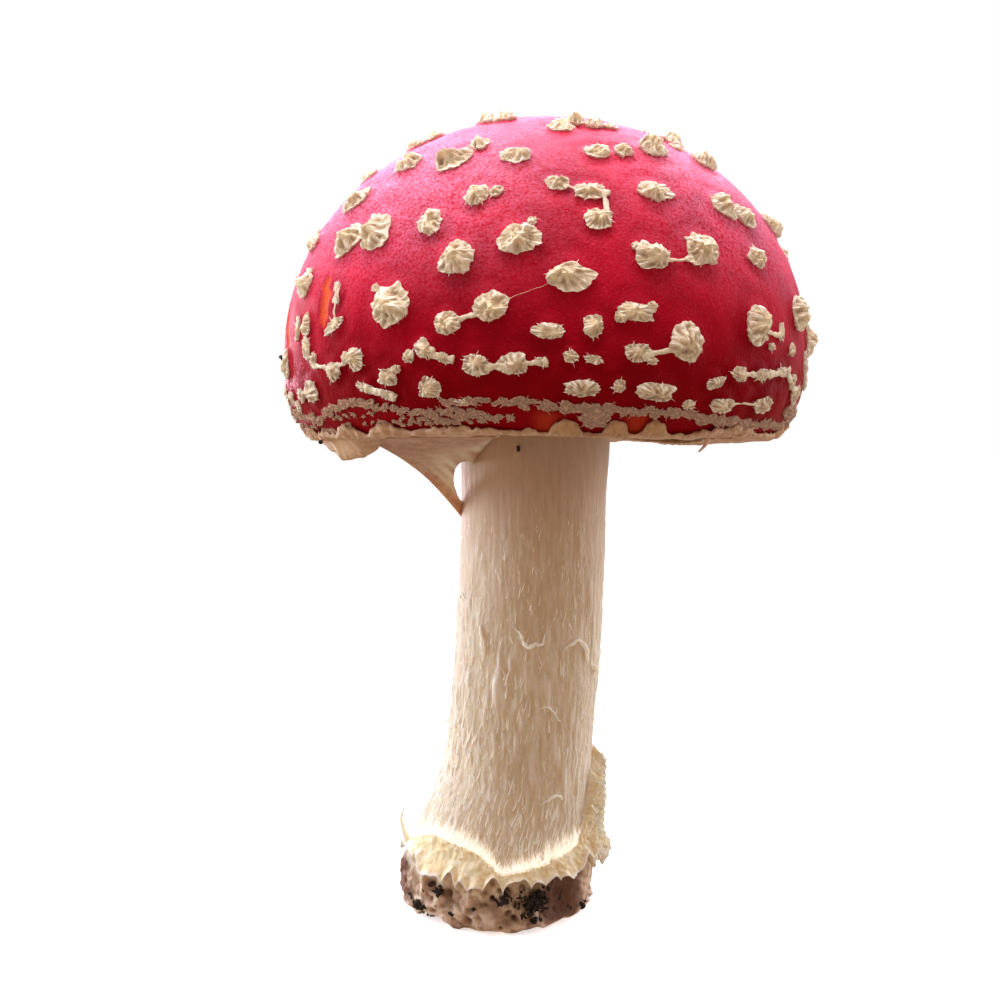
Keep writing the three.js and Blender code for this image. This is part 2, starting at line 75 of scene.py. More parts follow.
# Warts on the front of the cap, from the crown down: azimuth, polar measure, width, length, turn.
FRONT_WARTS = [
    (-38, 21, 5.6, 3.6, 0), (-25, 23, 4.4, 3.4, 0), (3, 34, 4.2, 3.8, 0), (9, 29, 3.8, 3.2, 0),
    (16, 31, 3.2, 3.0, 0), (23, 31, 2.6, 2.2, 0), (-57, 30, 3.8, 3.2, 0), (-62, 33, 4.8, 3.8, 0),
    (-43.5, 46, 5.6, 4.4, -15), (-27, 47.5, 6.7, 5.1, -10), (-22, 42, 3.4, 3.4, -20),
    (-10, 48, 5.2, 4.0, 0), (11, 46, 4.4, 3.6, 0), (19, 45, 3.4, 3.2, 0), (30, 43, 5.4, 4.6, 10),
    (54, 33, 4.6, 4.2, 10), (52, 43, 5.2, 3.8, 20), (-68, 45, 4.8, 3.5, -20),
    (-55.5, 55.5, 5.8, 4.4, -30), (-17, 60, 3.9, 4.2, 0), (0, 57, 3.6, 3.0, 0), (7, 59, 5.0, 3.0, 0),
    (8, 66, 4.2, 3.8, 0), (22, 58, 5.8, 4.2, 0), (41, 60, 6.1, 4.5, 15), (48.5, 61.5, 5.6, 4.2, 15),
    (69, 60, 5.6, 4.4, 20), (-40, 66.5, 6.7, 6.6, -10), (-48.5, 67.5, 6.0, 5.6, -20),
    (-26, 66, 4.0, 4.8, -10), (-68, 65, 3.8, 3.2, 0), (-7, 71, 6.0, 5.2, 0), (-19, 75, 5.4, 5.3, 0),
    (2, 79, 6.8, 4.6, 0), (18, 74, 6.2, 4.6, 0), (29, 72, 6.2, 5.6, 0), (46, 72, 4.4, 3.8, 10),
    (-62, 76, 5.0, 5.0, -10), (-47, 80, 1.7, 3.8, 0), (61, 83, 5.4, 6.4, 0), (77, 87, 5.4, 7.4, 0),
    (-32, 84, 6.9, 6.6, 0), (-12, 85, 5.2, 4.4, -15), (-20, 88, 4.2, 3.4, 0), (14, 86, 5.6, 2.9, 10),
    (-2, 90, 5.0, 2.5, 0), (6, 89, 3.4, 3.4, 0), (42, 87, 6.2, 5.8, 0), (-47, 87, 5.0, 1.9, -25),
    (-58, 86, 2.6, 3.8, 0), (-58, 92, 2.8, 3.8, 0), (14, 98, 5.0, 3.0, 0), (24, 93, 6.2, 6.2, 0),
    (-73, 97, 4.0, 5.4, 0), (-25, 96, 2.8, 3.4, -20), (-41, 99, 3.8, 3.5, 0), (-48, 103, 4.2, 3.3, 0),
    (2, 100, 2.6, 2.0, 0), (6, 101, 3.0, 1.4, 10), (-15, 103, 4.7, 3.5, 0), (-8, 103, 5.2, 3.5, 0),
    (-3, 102, 2.0, 1.6, 0), (-33, 107, 4.2, 3.1, 0), (37, 105, 4.0, 2.6, 10), (44, 105, 3.8, 2.2, 0),
    (52, 103, 3.8, 1.8, 0), (31, 109, 4.2, 2.0, -18), (4, 112, 6.0, 2.9, 0), (11, 111, 2.1, 2.2, 0),
    (18, 113, 7.0, 3.2, 5), (-24, 112, 4.6, 3.4, 0), (-39, 111, 4.2, 1.7, 20), (-34, 114, 4.0, 1.7, 15),
    (-58, 111, 5.2, 3.9, 0), (-72, 112, 4.0, 2.6, 0), (34, 118, 5.4, 2.8, 0), (47, 117, 5.8, 3.0, 0),
    (62, 112, 4.6, 3.6, 0), (-18, 118, 3.2, 1.2, 0),
]
WART_SEED = 4127
WART_TRIES = 900
WART_GAP = 3.0
BACK_AZIMUTH = (80, 278)
CROWN_SHARE = 0.12
CROWN_POLAR = 17
LOWEST_WART_POLAR = 117
WART_SIZE = (3.6, 3.0)

# Threads of stretched veil between neighbouring warts: two ends, each an azimuth and a polar measure, then
# the width at the ends and in the middle.
WART_THREADS = [
    ((19, 75), (28, 74), 2.0, 0.45), ((-20, 88), (-13, 86), 1.8, 0.6), ((1, 57), (6, 59), 1.4, 0.5),
    ((10, 59), (10, 65), 1.6, 0.7), ((-15, 104), (-8, 104), 2.2, 1.4), ((-8, 103), (-2, 102), 1.8, 0.8),
    ((15, 99), (23, 96), 1.7, 0.8), ((-47, 81), (-47, 87), 1.0, 0.4), ((34, 117), (47, 117), 1.4, 0.3),
    ((42, 88), (50, 89), 1.4, 0.6), ((45, 105), (53, 103), 1.8, 1.1), ((-47, 101), (-41, 99), 1.4, 0.6),
    ((-58, 92), (-55, 100), 1.2, 0.6), ((-55, 100), (-48, 102), 1.2, 0.6),
    ((54, 103), (61, 112), 1.8, 1.1), ((37, 105), (44, 105), 1.4, 0.8),
    ((-24, 98), (-19, 101), 1.6, 0.9), ((-39, 111), (-32, 115), 1.6, 1.1),
]
# Small scraps beside the warts, given like the warts.
SMALL_WARTS = [
    (-28, 99, 1.8, 2.0, 0), (-21, 100, 2.2, 1.5, 30), (17, 101, 1.7, 1.3, 0), (-13, 59, 2.4, 1.9, -20),
    (3, 30, 3.0, 2.4, 0), (46, 38, 2.6, 2.2, 0), (51, 88, 1.3, 2.8, 0), (56, 93, 1.2, 2.2, 10),
    (-63, 86, 1.4, 4.4, 0), (-55, 98, 1.6, 2.4, 10), (68, 98, 1.6, 4.4, 0), (70, 106, 2.0, 3.0, 0),
    (58, 107, 2.0, 2.6, -20), (-68, 116, 2.6, 1.8, 0), (11, 87, 2.0, 1.6, 30), (17, 85, 1.6, 1.8, -20),
    (-64, 112, 2.2, 2.4, 0), (26, 118, 2.2, 1.6, 0), (-44, 98, 1.6, 2.2, 0), (-31, 104, 1.6, 1.4, 0),
    (47, 93, 1.4, 1.2, 0), (-5, 67, 1.5, 1.3, 0), (15, 72, 1.6, 1.3, 0), (-36, 80, 1.5, 1.2, 0),
]
# One fine hair between two warts, given like the threads.
WART_HAIR = ((-12, 85), (1, 79), 0.16, 0.06)


# ---- Numbers and noise ----


def rad(degrees):
    return np.radians(degrees)


def smoothstep(value, low, high):
    t = np.clip((np.asarray(value, float) - low) / (high - low), 0, 1)
    return t * t * (3 - 2 * t)


def noise(points, size, seed):
    """Smooth random values from -1 to 1 over space. size is the grain, or one grain for each axis."""
    q = np.asarray(points, float) / size
    cell = np.floor(q).astype(np.int64)
    f = q - cell
    f = f * f * (3 - 2 * f)
    total = 0.0
    with np.errstate(over="ignore"):
        for corner in np.ndindex(2, 2, 2):
            # a hash of the cell's corner, which may run over
            i = cell + np.array(corner)
            h = i[..., 0] * 374761393 + i[..., 1] * 668265263 + i[..., 2] * 1440662683 + seed * 1013904223
            h = (h ^ (h >> 13)) * 1274126177
            h = h ^ (h >> 16)
            share = np.prod([f[..., k] if c else 1 - f[..., k] for k, c in enumerate(corner)], axis=0)
            total = total + share * ((h & 0xFFFF) / 32767.5 - 1)
    return total


def bumps(points, size, seed, floor=0.0):
    """The part of the noise that stands above a floor."""
    return np.maximum(noise(points, size, seed) - floor, 0)


def layered(points, size, seed):
    """Noise with two finer and weaker layers laid over it."""
    size = np.asarray(size, float)
    return sum(noise(points, size / 2**k, seed + k) / 1.8**k for k in range(3))


def drawer(seed):
    """Repeatable draws from 0 to 1, the same as the solids use."""
    state = seed
    while True:
        state = (state * 16807) % 2147483647
        yield state / 2147483647


def wrapped(azimuth):
    """The same azimuth from -180 to 180."""
    return (np.asarray(azimuth, float) + 180) % 360 - 180


def hump(offset, half_width):
    """A smooth hump in azimuth: 1 in the middle and 0 beyond its half width."""
    return np.cos(rad(90 * np.minimum(np.abs(wrapped(offset)) / half_width, 1))) ** 2


def wave(share):
    """0 at both ends and 1 in the middle."""
    return np.sin(math.pi * share)


def circle(count):
    """Angles of evenly spread points on a circle, in radians."""
    return np.arange(count) * 2 * math.pi / count


def round_grid(columns, levels):
    """Azimuths and levels of a grid that goes all the way round."""
    return np.meshgrid(np.arange(columns) * 360 / columns, levels)


def unit(vectors):
    return vectors / np.maximum(np.linalg.norm(vectors, axis=-1, keepdims=True), 1e-9)


# ---- The cap's skin ----


def on_cap(azimuth, radius, height):
    """A point at a distance from the cap's axis and a height over its rim."""
    a = rad(azimuth)
    parts = (CAP_CENTRE_X + radius * np.sin(a), -radius * np.cos(a), RIM_HEIGHT + height)
    return np.stack(np.broadcast_arrays(*parts), axis=-1)


def swell(azimuth, polar):
    """How far the cap's outline swells or shrinks from round."""
    lobes = 0.5 * np.cos(rad(azimuth + 75)) + 0.35 * np.cos(rad(3 * azimuth - 40))
    return lobes * np.sin(rad(np.minimum(polar, 90))) ** 2


def rim_drop(azimuth):
    """How far the rim hangs below its middle level."""
    return -RIM_TILT * np.cos(rad(azimuth)) + 0.25 * np.sin(rad(4 * azimuth))


def skin(azimuth, polar):
    """The dome, from polar 0 at the crown through 90 at the widest level to RIM_POLAR at the rim."""
    azimuth, polar = np.broadcast_arrays(np.asarray(azimuth, float), np.asarray(polar, float))
    above = np.minimum(polar, 90)
    share = np.maximum(polar - 90, 0) / (RIM_POLAR - 90)
    cap_radius = bpy.context.scene.mushroom_sizes.cap_radius / MM
    radius = cap_radius * np.sin(rad(above)) - RIM_TUCK * share**3.3 + swell(azimuth, polar)
    height = (WIDEST_ABOVE_RIM + CROWN_ABOVE_WIDEST * np.cos(rad(above))) * (share == 0)
    height = height + (WIDEST_ABOVE_RIM * (1 - share) - rim_drop(azimuth) * share) * (share > 0)
    return on_cap(azimuth, radius, height)


def skin_frame(azimuth, polar):
    """Sideways, downhill and outward directions of the skin."""
    side = unit(skin(azimuth + 1, polar) - skin(azimuth - 1, polar))
    down = unit(skin(azimuth, polar + 1) - skin(azimuth, polar - 1))
    return side, down, unit(np.cross(down, side))


def skin_waves(points):
    """Slow rises and hollows of the skin."""
    return 0.34 * noise(points, 15, 5) + 0.12 * noise(points, 5.5, 6)


def all_warts():
    """The front's warts, then warts drawn at random over the back wherever there is room."""
    draws = drawer(WART_SEED)
    placed = [tuple(map(float, wart)) for wart in FRONT_WARTS]
    spots = [skin(wart[0], wart[1]) for wart in placed]
    for _ in range(WART_TRIES):
        on_crown = next(draws) < CROWN_SHARE
        turn = next(draws)
        azimuth = BACK_AZIMUTH[0] + (BACK_AZIMUTH[1] - BACK_AZIMUTH[0]) * turn
        fall = next(draws)
        polar = CROWN_POLAR * fall if on_crown else CROWN_POLAR + (LOWEST_WART_POLAR - CROWN_POLAR) * fall
        width = WART_SIZE[0] + WART_SIZE[1] * next(draws) ** 2
        length = width * (0.72 + 0.3 * next(draws))
        length = length * 0.75 if polar > 100 else length
        spot = skin(azimuth, polar)
        apart = np.linalg.norm(np.array(spots) - spot, axis=1)
        reach = np.array([(width + max(other[2], other[3])) / 2 + WART_GAP for other in placed])
        if (apart > reach).all():
            placed.append((azimuth, polar, width, length, 40 * next(draws) - 20))
            spots.append(spot)
    return placed


def wart_rise(polar, width, length):
    """Wart height: the lower on the cap, the flatter."""
    return (0.62 - 0.2 * min(polar / 110, 1)) * min(width, length)


def ceiling(radius):
    """Height over the rim of the flesh that the gills hang from."""
    share = np.maximum((radius - FLESH_SEAT_RADIUS) / (FLESH_EDGE[0] - FLESH_SEAT_RADIUS), 0)
    return FLESH_CEILING - (FLESH_CEILING - FLESH_EDGE[1]) * share**2.4


# ---- The stem's surface ----


def stem_at(height):
    """Centre x and radius of the stem at a height."""
    heights, centres, radii = np.array(STEM_STATIONS, float).T
    return smooth_curve(heights, centres, height), smooth_curve(heights, radii, height)


def smooth_curve(xs, ys, x):
    """A smooth curve through the given stations that doesn't overshoot them."""
    steps = np.diff(ys) / np.diff(xs)
    slopes = np.zeros(len(xs))
    same_way = steps[:-1] * steps[1:] > 0
    inner = 2 * steps[:-1] * steps[1:] / np.where(same_way, steps[:-1] + steps[1:], 1)
    slopes[1:-1] = np.where(same_way, inner, 0)
    slopes[0], slopes[-1] = steps[0], steps[-1]
    x = np.clip(x, xs[0], xs[-1])
    i = np.clip(np.searchsorted(xs, x) - 1, 0, len(xs) - 2)
    width = xs[i + 1] - xs[i]
    t = (x - xs[i]) / width
    h00, h10 = (1 + 2 * t) * (1 - t) ** 2, t * (1 - t) ** 2
    h01, h11 = t * t * (3 - 2 * t), t * t * (t - 1)
    return h00 * ys[i] + h10 * width * slopes[i] + h01 * ys[i + 1] + h11 * width * slopes[i + 1]


def on_stem(azimuth, height, proud=0.0):
    """A point on the stem, or as far out from it as proud says."""
    centre, radius = stem_at(height)
    a = rad(azimuth)
    r = radius + proud
    return np.stack(np.broadcast_arrays(centre + r * np.sin(a), -r * np.cos(a), height), axis=-1)


def outward(points, azimuth, height, depth):
    """Directions out of the stem at points near it, seen from a depth below its surface."""
    return unit(points - on_stem(azimuth, height, -depth))


def level_ring(azimuth, radius=BULB_RADIUS):
    """Points on a level ring, for noise that runs round the bulb or the rim."""
    a = rad(azimuth)
    return np.stack([radius * np.sin(a), radius * np.cos(a), 0 * a], axis=-1)


# ---- Meshes ----


class Batch:
    """Collects many small shapes into one mesh."""

    def __init__(self):
        self.points, self.faces, self.smooth, self.count = [], [], [], 0

    def add(self, points, faces, smooth=True):
        self.points.append(np.asarray(points, float).reshape(-1, 3))
        self.faces.extend([tuple(int(i) + self.count for i in face) for face in faces])
        self.smooth.extend([smooth] * len(faces))
        self.count += len(self.points[-1])

    def mesh(self, name, finish, slot, **options):
        piece = add_piece(name, np.concatenate(self.points), self.faces, finish, slot, **options)
        piece.data.polygons.foreach_set("use_smooth", self.smooth)

    def plain_masks(self, pale):
        """No shadow, and the same paleness all over."""
        return {"shadow": np.zeros(self.count), "pale": np.full(self.count, pale)}


def add_piece(name, points, faces, finish, slot, replaces=(), thickness=0.0, masks=None):
    """Makes a mesh piece of the mushroom from points in millimetres."""
    mesh = bpy.data.meshes.new(name)
    mesh.from_pydata((np.asarray(points, float).reshape(-1, 3) * MM).tolist(), [], faces)
    shell = bmesh.new()
    shell.from_mesh(mesh)
    bmesh.ops.recalc_face_normals(shell, faces=shell.faces)
    shell.to_mesh(mesh)
    shell.free()
    mesh.shade_smooth()
    for mask, values in (masks or {}).items():
        attribute = mesh.attributes.new(mask, "FLOAT", "POINT")
        attribute.data.foreach_set("value", np.asarray(values, np.float32).ravel())
    mesh.materials.append(finish)
    piece = bpy.data.objects.new(name, mesh)
    bpy.context.scene.collection.objects.link(piece)
    if thickness:
        solid = piece.modifiers.new("thickness", "SOLIDIFY")
        solid.thickness = thickness * MM
        solid.offset = 0
        solid.use_even_offset = False
    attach(piece, "root")
    if replaces:
        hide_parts(*replaces)
    return piece


def grid_faces(rows, columns, closed=True):
    """Faces of a grid of points in rows. A closed grid joins each row's end to its start."""
    across = columns if closed else columns - 1
    i, j = np.meshgrid(np.arange(rows - 1), np.arange(across), indexing="ij")
    k = (j + 1) % columns
    a, b, c, d = i * columns + j, i * columns + k, (i + 1) * columns + k, (i + 1) * columns + j
    return np.stack([a, d, c, b], axis=-1).reshape(-1, 4).tolist()


def tube_faces(rows, columns):
    """Faces of a closed grid whose last row also joins its first."""
    return [tuple(i % (rows * columns) for i in face) for face in grid_faces(rows + 1, columns)]


def fan_faces(centre, ring):
    """Triangles from a centre point to a ring of points."""
    return [(centre, ring[j], ring[(j + 1) % len(ring)]) for j in range(len(ring))]


def capped_faces(rows, sides):
    """Faces of a closed grid with a flat face over each end."""
    last = rows * sides
    return grid_faces(rows, sides) + [tuple(range(sides)), tuple(range(last - 1, last - sides - 1, -1))]


def closed_body(grid, first, last, masks, rest):
    """Points, faces and masks of a closed grid that narrows to a point at each end.

    A mask that is shorter than the points goes on with its value in rest."""
    rows, columns = grid.shape[:2]
    count = rows * columns
    points = np.concatenate([grid.reshape(-1, 3), [first, last]])
    faces = grid_faces(rows, columns)
    faces += fan_faces(count, list(range(columns)))
    faces += fan_faces(count + 1, list(range(count - 1, count - columns - 1, -1)))
    for name, mask in masks.items():
        spare = np.full(len(points) - mask.size, rest.get(name, 0.0))
        masks[name] = np.concatenate([mask.ravel(), spare])
    return points, faces, masks


def lump_shape():
    """Points and faces of a ball of triangles."""
    ball = bmesh.new()
    bmesh.ops.create_icosphere(ball, subdivisions=2, radius=1)
    points = np.array([v.co[:] for v in ball.verts])
    faces = [[v.index for v in face.verts] for face in ball.faces]
    ball.free()
    return points, faces


def add_lump(batch, ball, centre, sizes, roughness, seed):
    """A crumb: a ball stretched along the axes, with a broken surface."""
    points, faces = ball
    grown = points * (1 + roughness * noise(points, 0.75, seed))[:, None]
    batch.add(centre + grown * np.asarray(sizes) / 2, faces, smooth=False)


def add_fibres(batch, roots, tips, widths, bends):
    """Thin three-sided fibres that taper from a root to a tip, bent sideways in the middle."""
    along = unit(tips - roots)
    across = unit(np.cross(along, np.array([0.31, 0.22, 0.93])))
    third = np.cross(along, across)
    for start, tip, width, bend, u, v in zip(roots, tips, widths, bends, across, third):
        ring = [u * math.cos(t) + v * math.sin(t) for t in (0, 2.1, 4.2)]
        middle = start + (tip - start) * 0.5 + bend
        points = [start + r * width / 2 for r in ring] + [middle + r * width * 0.36 for r in ring] + [tip]
        faces = [(j, (j + 1) % 3, 3 + (j + 1) % 3, 3 + j) for j in range(3)]
        batch.add(points, faces + [(3 + j, 3 + (j + 1) % 3, 6) for j in range(3)] + [(2, 1, 0)], smooth=False)


def add_strand(batch, path, widths, heights, outs):
    """A strip of tissue along a path, with an oval section of the given widths and heights."""
    sides = 6
    path = np.asarray(path, float)
    along = unit(np.gradient(path, axis=0))
    across = unit(np.cross(along, outs))
    ups = np.cross(across, along)
    turns = circle(sides)[None, :, None]
    section = np.cos(turns) * across[:, None] * np.asarray(widths)[:, None, None] / 2
    section = section + np.sin(turns) * ups[:, None] * np.asarray(heights)[:, None, None] / 2
    batch.add(path[:, None] + section, capped_faces(len(path), sides))


# ---- Finishes ----


class Value:
    """A number or colour in a shader. Sums on it add their Math nodes."""

    def __init__(self, finish, socket):
        self.finish, self.socket = finish, socket

    def __add__(self, other):
        return self.finish.math("ADD", self, other)

    def __sub__(self, other):
        return self.finish.math("SUBTRACT", self, other)

    def __rsub__(self, other):
        return self.finish.math("SUBTRACT", other, self)

    def __mul__(self, other):
        return self.finish.math("MULTIPLY", self, other)

    __radd__ = __add__
    __rmul__ = __mul__


class Finish:
    """Builds the nodes of one material, or of the world."""

    def __init__(self, owner):
        owner.use_nodes = True
        self.tree = owner.node_tree
        self.tree.nodes.clear()

    def node(self, kind, settings=None, sockets=None, output=0):
        """A new node with its settings and sockets, as a value of one of its outputs."""
        node = self.tree.nodes.new(kind)
        for name, setting in (settings or {}).items():
            setattr(node, name, setting)
        for name, value in (sockets or {}).items():
            if isinstance(value, Value):
                self.tree.links.new(value.socket, node.inputs[name])
            else:
                node.inputs[name].default_value = value
        return Value(self, node.outputs[output]) if len(node.outputs) else node

    def math(self, operation, *terms):
        return self.node("ShaderNodeMath", {"operation": operation}, dict(enumerate(terms)))

    def place(self, stretch=(1, 1, 1)):
        """Position on the piece in millimetres, stretched along each axis."""
        where = self.node("ShaderNodeTexCoord", output=3)
        scale = tuple(1000 * s for s in stretch)
        return self.node("ShaderNodeVectorMath", {"operation": "MULTIPLY"}, {0: where, 1: scale})

    def grain(self, size, detail=3.0, stretch=(1, 1, 1), rough=0.5):
        """Noise from 0 to 1 with the given grain in millimetres."""
        sockets = {"Vector": self.place(stretch), "Scale": 1 / size, "Detail": detail, "Roughness": rough}
        return self.node("ShaderNodeTexNoise", None, sockets)

    def cell_edges(self, size):
        """Distance from the walls of cells of the given size in millimetres."""
        sockets = {"Vector": self.place(), "Scale": 1 / size}
        return self.node("ShaderNodeTexVoronoi", {"feature": "DISTANCE_TO_EDGE"}, sockets)

    def mask(self, name):
        settings = {"attribute_type": "GEOMETRY", "attribute_name": name}
        return self.node("ShaderNodeAttribute", settings, output=2)

    def step(self, value, low, high):
        """0 below low, 1 above high and smooth between them."""
        sockets = {0: value, 1: low, 2: high}
        return self.node("ShaderNodeMapRange", {"interpolation_type": "SMOOTHSTEP"}, sockets)

    def mix(self, factor, low, high):
        """One colour turning into another as factor goes from 0 to 1."""
        low, high = [c if isinstance(c, Value) else (*c, 1.0) for c in (low, high)]
        return self.node("ShaderNodeMix", {"data_type": "RGBA"}, {0: factor, 6: low, 7: high}, output=2)

    def bump(self, height, distance, below=None):
        """The surface raised by up to a distance in millimetres, over any bump below it."""
        sockets = {"Height": height, "Distance": distance * MM, "Strength": 1.0}
        if below is not None:
            sockets["Normal"] = below
        return self.node("ShaderNodeBump", None, sockets)

    def surface(self, **sockets):
        names = {key.replace("_", " ").title().replace("Ior", "IOR"): value for key, value in sockets.items()}
        shader = self.node("ShaderNodeBsdfPrincipled", None, names)
        self.node("ShaderNodeOutputMaterial", None, {"Surface": shader})


def new_finish(name):
    material = bpy.data.materials.new(name)
    return material, Finish(material)


def colour(name):
    return tuple(getattr(bpy.context.scene.mushroom_colours, name))


def scaled(shade, share):
    """A colour with its channels multiplied by a share, or by one share each."""
    return tuple(np.multiply(share, shade))


def skin_finish():
    """Leathery crimson skin, darker towards the rim, with pores, dark specks, pale specks painted as glints
    and a painted lilac sheen over the upper cap.
    """
    material, f = new_finish("cap_skin")
    red, deep, flesh = colour("skin"), colour("skin_deep"), colour("skin_scar")
    halo, low, scar = f.mask("halo"), f.mask("low"), f.mask("scar")
    patches = f.step(f.grain(9, 4), 0.38, 0.66)
    base = f.mix(low, red, deep)
    base = f.mix(patches * 0.4, base, scaled(deep, 0.6))
    # painted shade round the warts
    base = f.mix(halo * 0.35, base, scaled(deep, 0.5))
    # pale pink specks on the upper cap: painted glints where the sheen breaks on the bumpy skin
    speck = f.step(f.grain(0.42, 3), 0.58, 0.8)
    base = f.mix(speck * (1 - low) * 0.4, base, (0.95, 0.11, 0.16))
    base = f.mix(f.step(f.grain(0.3, 2), 0.56, 0.72) * (1 - low) * 0.3, base, deep)
    # painted lilac sheen: a speckled pink mix over the upper cap that stands in for reflected light
    base = f.mix(f.mask("bloom") * f.step(f.grain(0.45, 3), 0.28, 0.66) * 0.42, base, (1.0, 0.42, 0.66))
    base = f.mix(scar, base, flesh)
    base = f.mix(f.mask("flesh"), base, colour("veil"))
    leather = f.bump(f.step(f.cell_edges(0.7), 0.0, 0.2), 0.03)
    leather = f.bump(f.grain(1.5, 5, (1, 1, 0.6), 0.6), 0.2, leather)
    leather = f.bump(f.grain(0.4, 3), 0.05, leather)
    rough = 0.52 + 0.2 * f.grain(1.8, 3)
    f.surface(
        base_color=base, roughness=rough, normal=leather, specular_ior_level=0.12,
        specular_tint=(1.0, 0.3, 0.5, 1.0), subsurface_weight=0.1,
        subsurface_radius=(0.004, 0.0004, 0.0006), subsurface_scale=0.5,
    )
    return material


def tissue_finish(
    name, light, dark, grain=0.8, streak=(1, 1, 1), relief=0.12, glow=0.15, shadow=None, pale=None, shine=0.0
):
    """Dry fibrous tissue: light and dark patches, fine streaks and a matt broken surface.

    A piece given the colour for painted shade, or the pale colour, has a mask of the same name as that
    argument on its mesh. The pale mask marks pale tissue, and painted highlights on warts, flakes and the
    collar's hem."""
    material, f = new_finish(name)
    patches = f.step(f.grain(4 * grain, 4, streak), 0.32, 0.7)
    streaks = f.grain(grain, 4, streak, 0.65)
    base = f.mix(patches * 0.4 + f.step(streaks, 0.3, 0.68) * 0.6, dark, light)
    base = f.mix(f.step(f.grain(0.5 * grain, 2, streak), 0.58, 0.74) * 0.4, base, dark)
    # painted shade where its mask says, then pale tissue with the painted highlights of warts, flakes and the
    # collar's hem
    if shadow:
        base = f.mix(f.mask("shadow"), base, shadow)
    if pale:
        base = f.mix(f.mask("pale"), base, pale)
    normal = f.bump(streaks, relief)
    normal = f.bump(f.grain(0.35 * grain, 2), relief * 0.4, normal)
    # shine is a painted glow: an even emission that brightens the tissue as if more light reached it
    f.surface(
        base_color=base, roughness=0.62 + 0.2 * f.grain(2 * grain, 2), normal=normal,
        subsurface_weight=glow, subsurface_radius=(0.003, 0.002, 0.0012), subsurface_scale=0.7,
        emission_color=(1.0, 0.93, 0.84, 1.0), emission_strength=shine,
    )
    return material


def soil_finish():
    material, f = new_finish("soil")
    speck = f.step(f.grain(0.35, 3), 0.55, 0.75)
    base = f.mix(speck, colour("soil"), scaled(colour("soil"), 3.2))
    normal = f.bump(f.grain(0.4, 4), 0.15)
    f.surface(base_color=base, roughness=0.75 + 0.2 * f.grain(1.2, 2), normal=normal)
    return material


# ---- Operators, one for each piece ----


class PieceOperator(bpy.types.Operator):
    """Shared start of the mushroom's operators"""

    bl_options = {"REGISTER", "UNDO"}

    def execute(self, context):
        self.build(context.scene.mushroom_sizes)
        return {"FINISHED"}


class MUSHROOM_OT_cap(PieceOperator):
    """Add the domed cap with its leathery crimson skin"""

    bl_idname = "mushroom.cap"
    bl_label = "Cap"

    columns, rows = 420, 168
    # slits where the skin is split: azimuth, half width, polar measure in the middle, half length
    slits = [(-51.5, 1.5, 81, 6.5), (-73, 1.8, 85, 7), (71, 1.6, 91, 6)]
    # a rounded lip under the rim, then the flesh up to the stem: distance from the axis, height over the rim
    lip = [(39.4, -0.25), (38.8, -0.45), (38.3, 0.1), (39.4, 1.9)]
    flesh = [FLESH_EDGE, *((radius, ceiling(radius)) for radius in (39.2, 34, 27, 20, 15, 8))]

    def build(self, sizes):
        azimuth, polar = round_grid(self.columns, np.linspace(0.9, RIM_POLAR, self.rows))
        points = skin(azimuth, polar)
        out = skin_frame(azimuth, polar)[2]
        lift = skin_waves(points)
        halo = np.zeros(polar.shape)
        # the skin swells under each wart and dips round it, and painted shade darkens the skin round each
        # wart
        for wart in all_warts():
            centre = skin(wart[0], wart[1])
            distance = np.linalg.norm(points - centre, axis=-1) / (0.25 * (wart[2] + wart[3]))
            lift = lift + 0.3 * np.exp(-distance**2) - 0.2 * np.exp(-(((distance - 1.5) / 0.45) ** 2))
            halo = np.maximum(halo, np.exp(-((distance / 1.9) ** 2)))
        scar = self.scars(points, azimuth, polar)
        lift = lift - 0.35 * scar * (polar < 110)
        points = points + out * (lift * smoothstep(RIM_POLAR - polar, 0, 3))[..., None]
        around = azimuth[0]
        under = [on_cap(around, radius, height - rim_drop(around)) for radius, height in self.lip]
        under += [on_cap(around, radius, height) for radius, height in self.flesh]
        crown = skin(0.0, 0.0) + np.array([0, 0, 1]) * skin_waves(skin(0.0, 0.0))
        # where the painted sheen lies: over the upper sides of the cap, faint at the front's middle and at
        # the back
        bloom = smoothstep(polar, 16, 46) * smoothstep(-polar, -90, -50) * (1 - 0.8 * hump(azimuth - 8, 36))
        bloom = bloom * (0.3 + 0.7 * smoothstep(hump(azimuth, 150), 0, 0.5))
        low = smoothstep(polar, 70, 112)
        masks = {"halo": halo, "low": low, "scar": scar, "flesh": 0 * polar, "bloom": bloom}
        grid = np.concatenate([points, np.array(under)])
        body = closed_body(grid, crown, on_cap(0.0, 0.0, FLESH_CEILING), masks, {"flesh": 1.0})
        points, faces, masks = body
        add_piece("cap_skin", points, faces, skin_finish(), "cap", replaces=("cap",), masks=masks)

    def scars(self, points, azimuth, polar):
        """Where orange flesh shows: in the slits, and in two patches at the front of the rim."""
        scar = 0 * polar
        for turn, half, middle, reach in self.slits:
            across = (wrapped(azimuth - turn) + 0.8 * noise(points, 1.5, 26)) / half
            slit = 1 - across**2 - ((polar - middle) / reach) ** 2
            scar = np.maximum(scar, smoothstep(slit, 0, 0.4))
        patches = np.maximum(hump(azimuth + 2, 4), hump(azimuth - 15.8, 4)) * smoothstep(polar, 120, 124)
        return np.maximum(scar, 0.42 * patches)


def ring_noise(turns, size, seed):
    """Noise round a closed outline."""
    level = 0 * turns + 0.37 * (seed % 89)
    return noise(np.stack([np.cos(turns), np.sin(turns), level], axis=-1), size, seed)


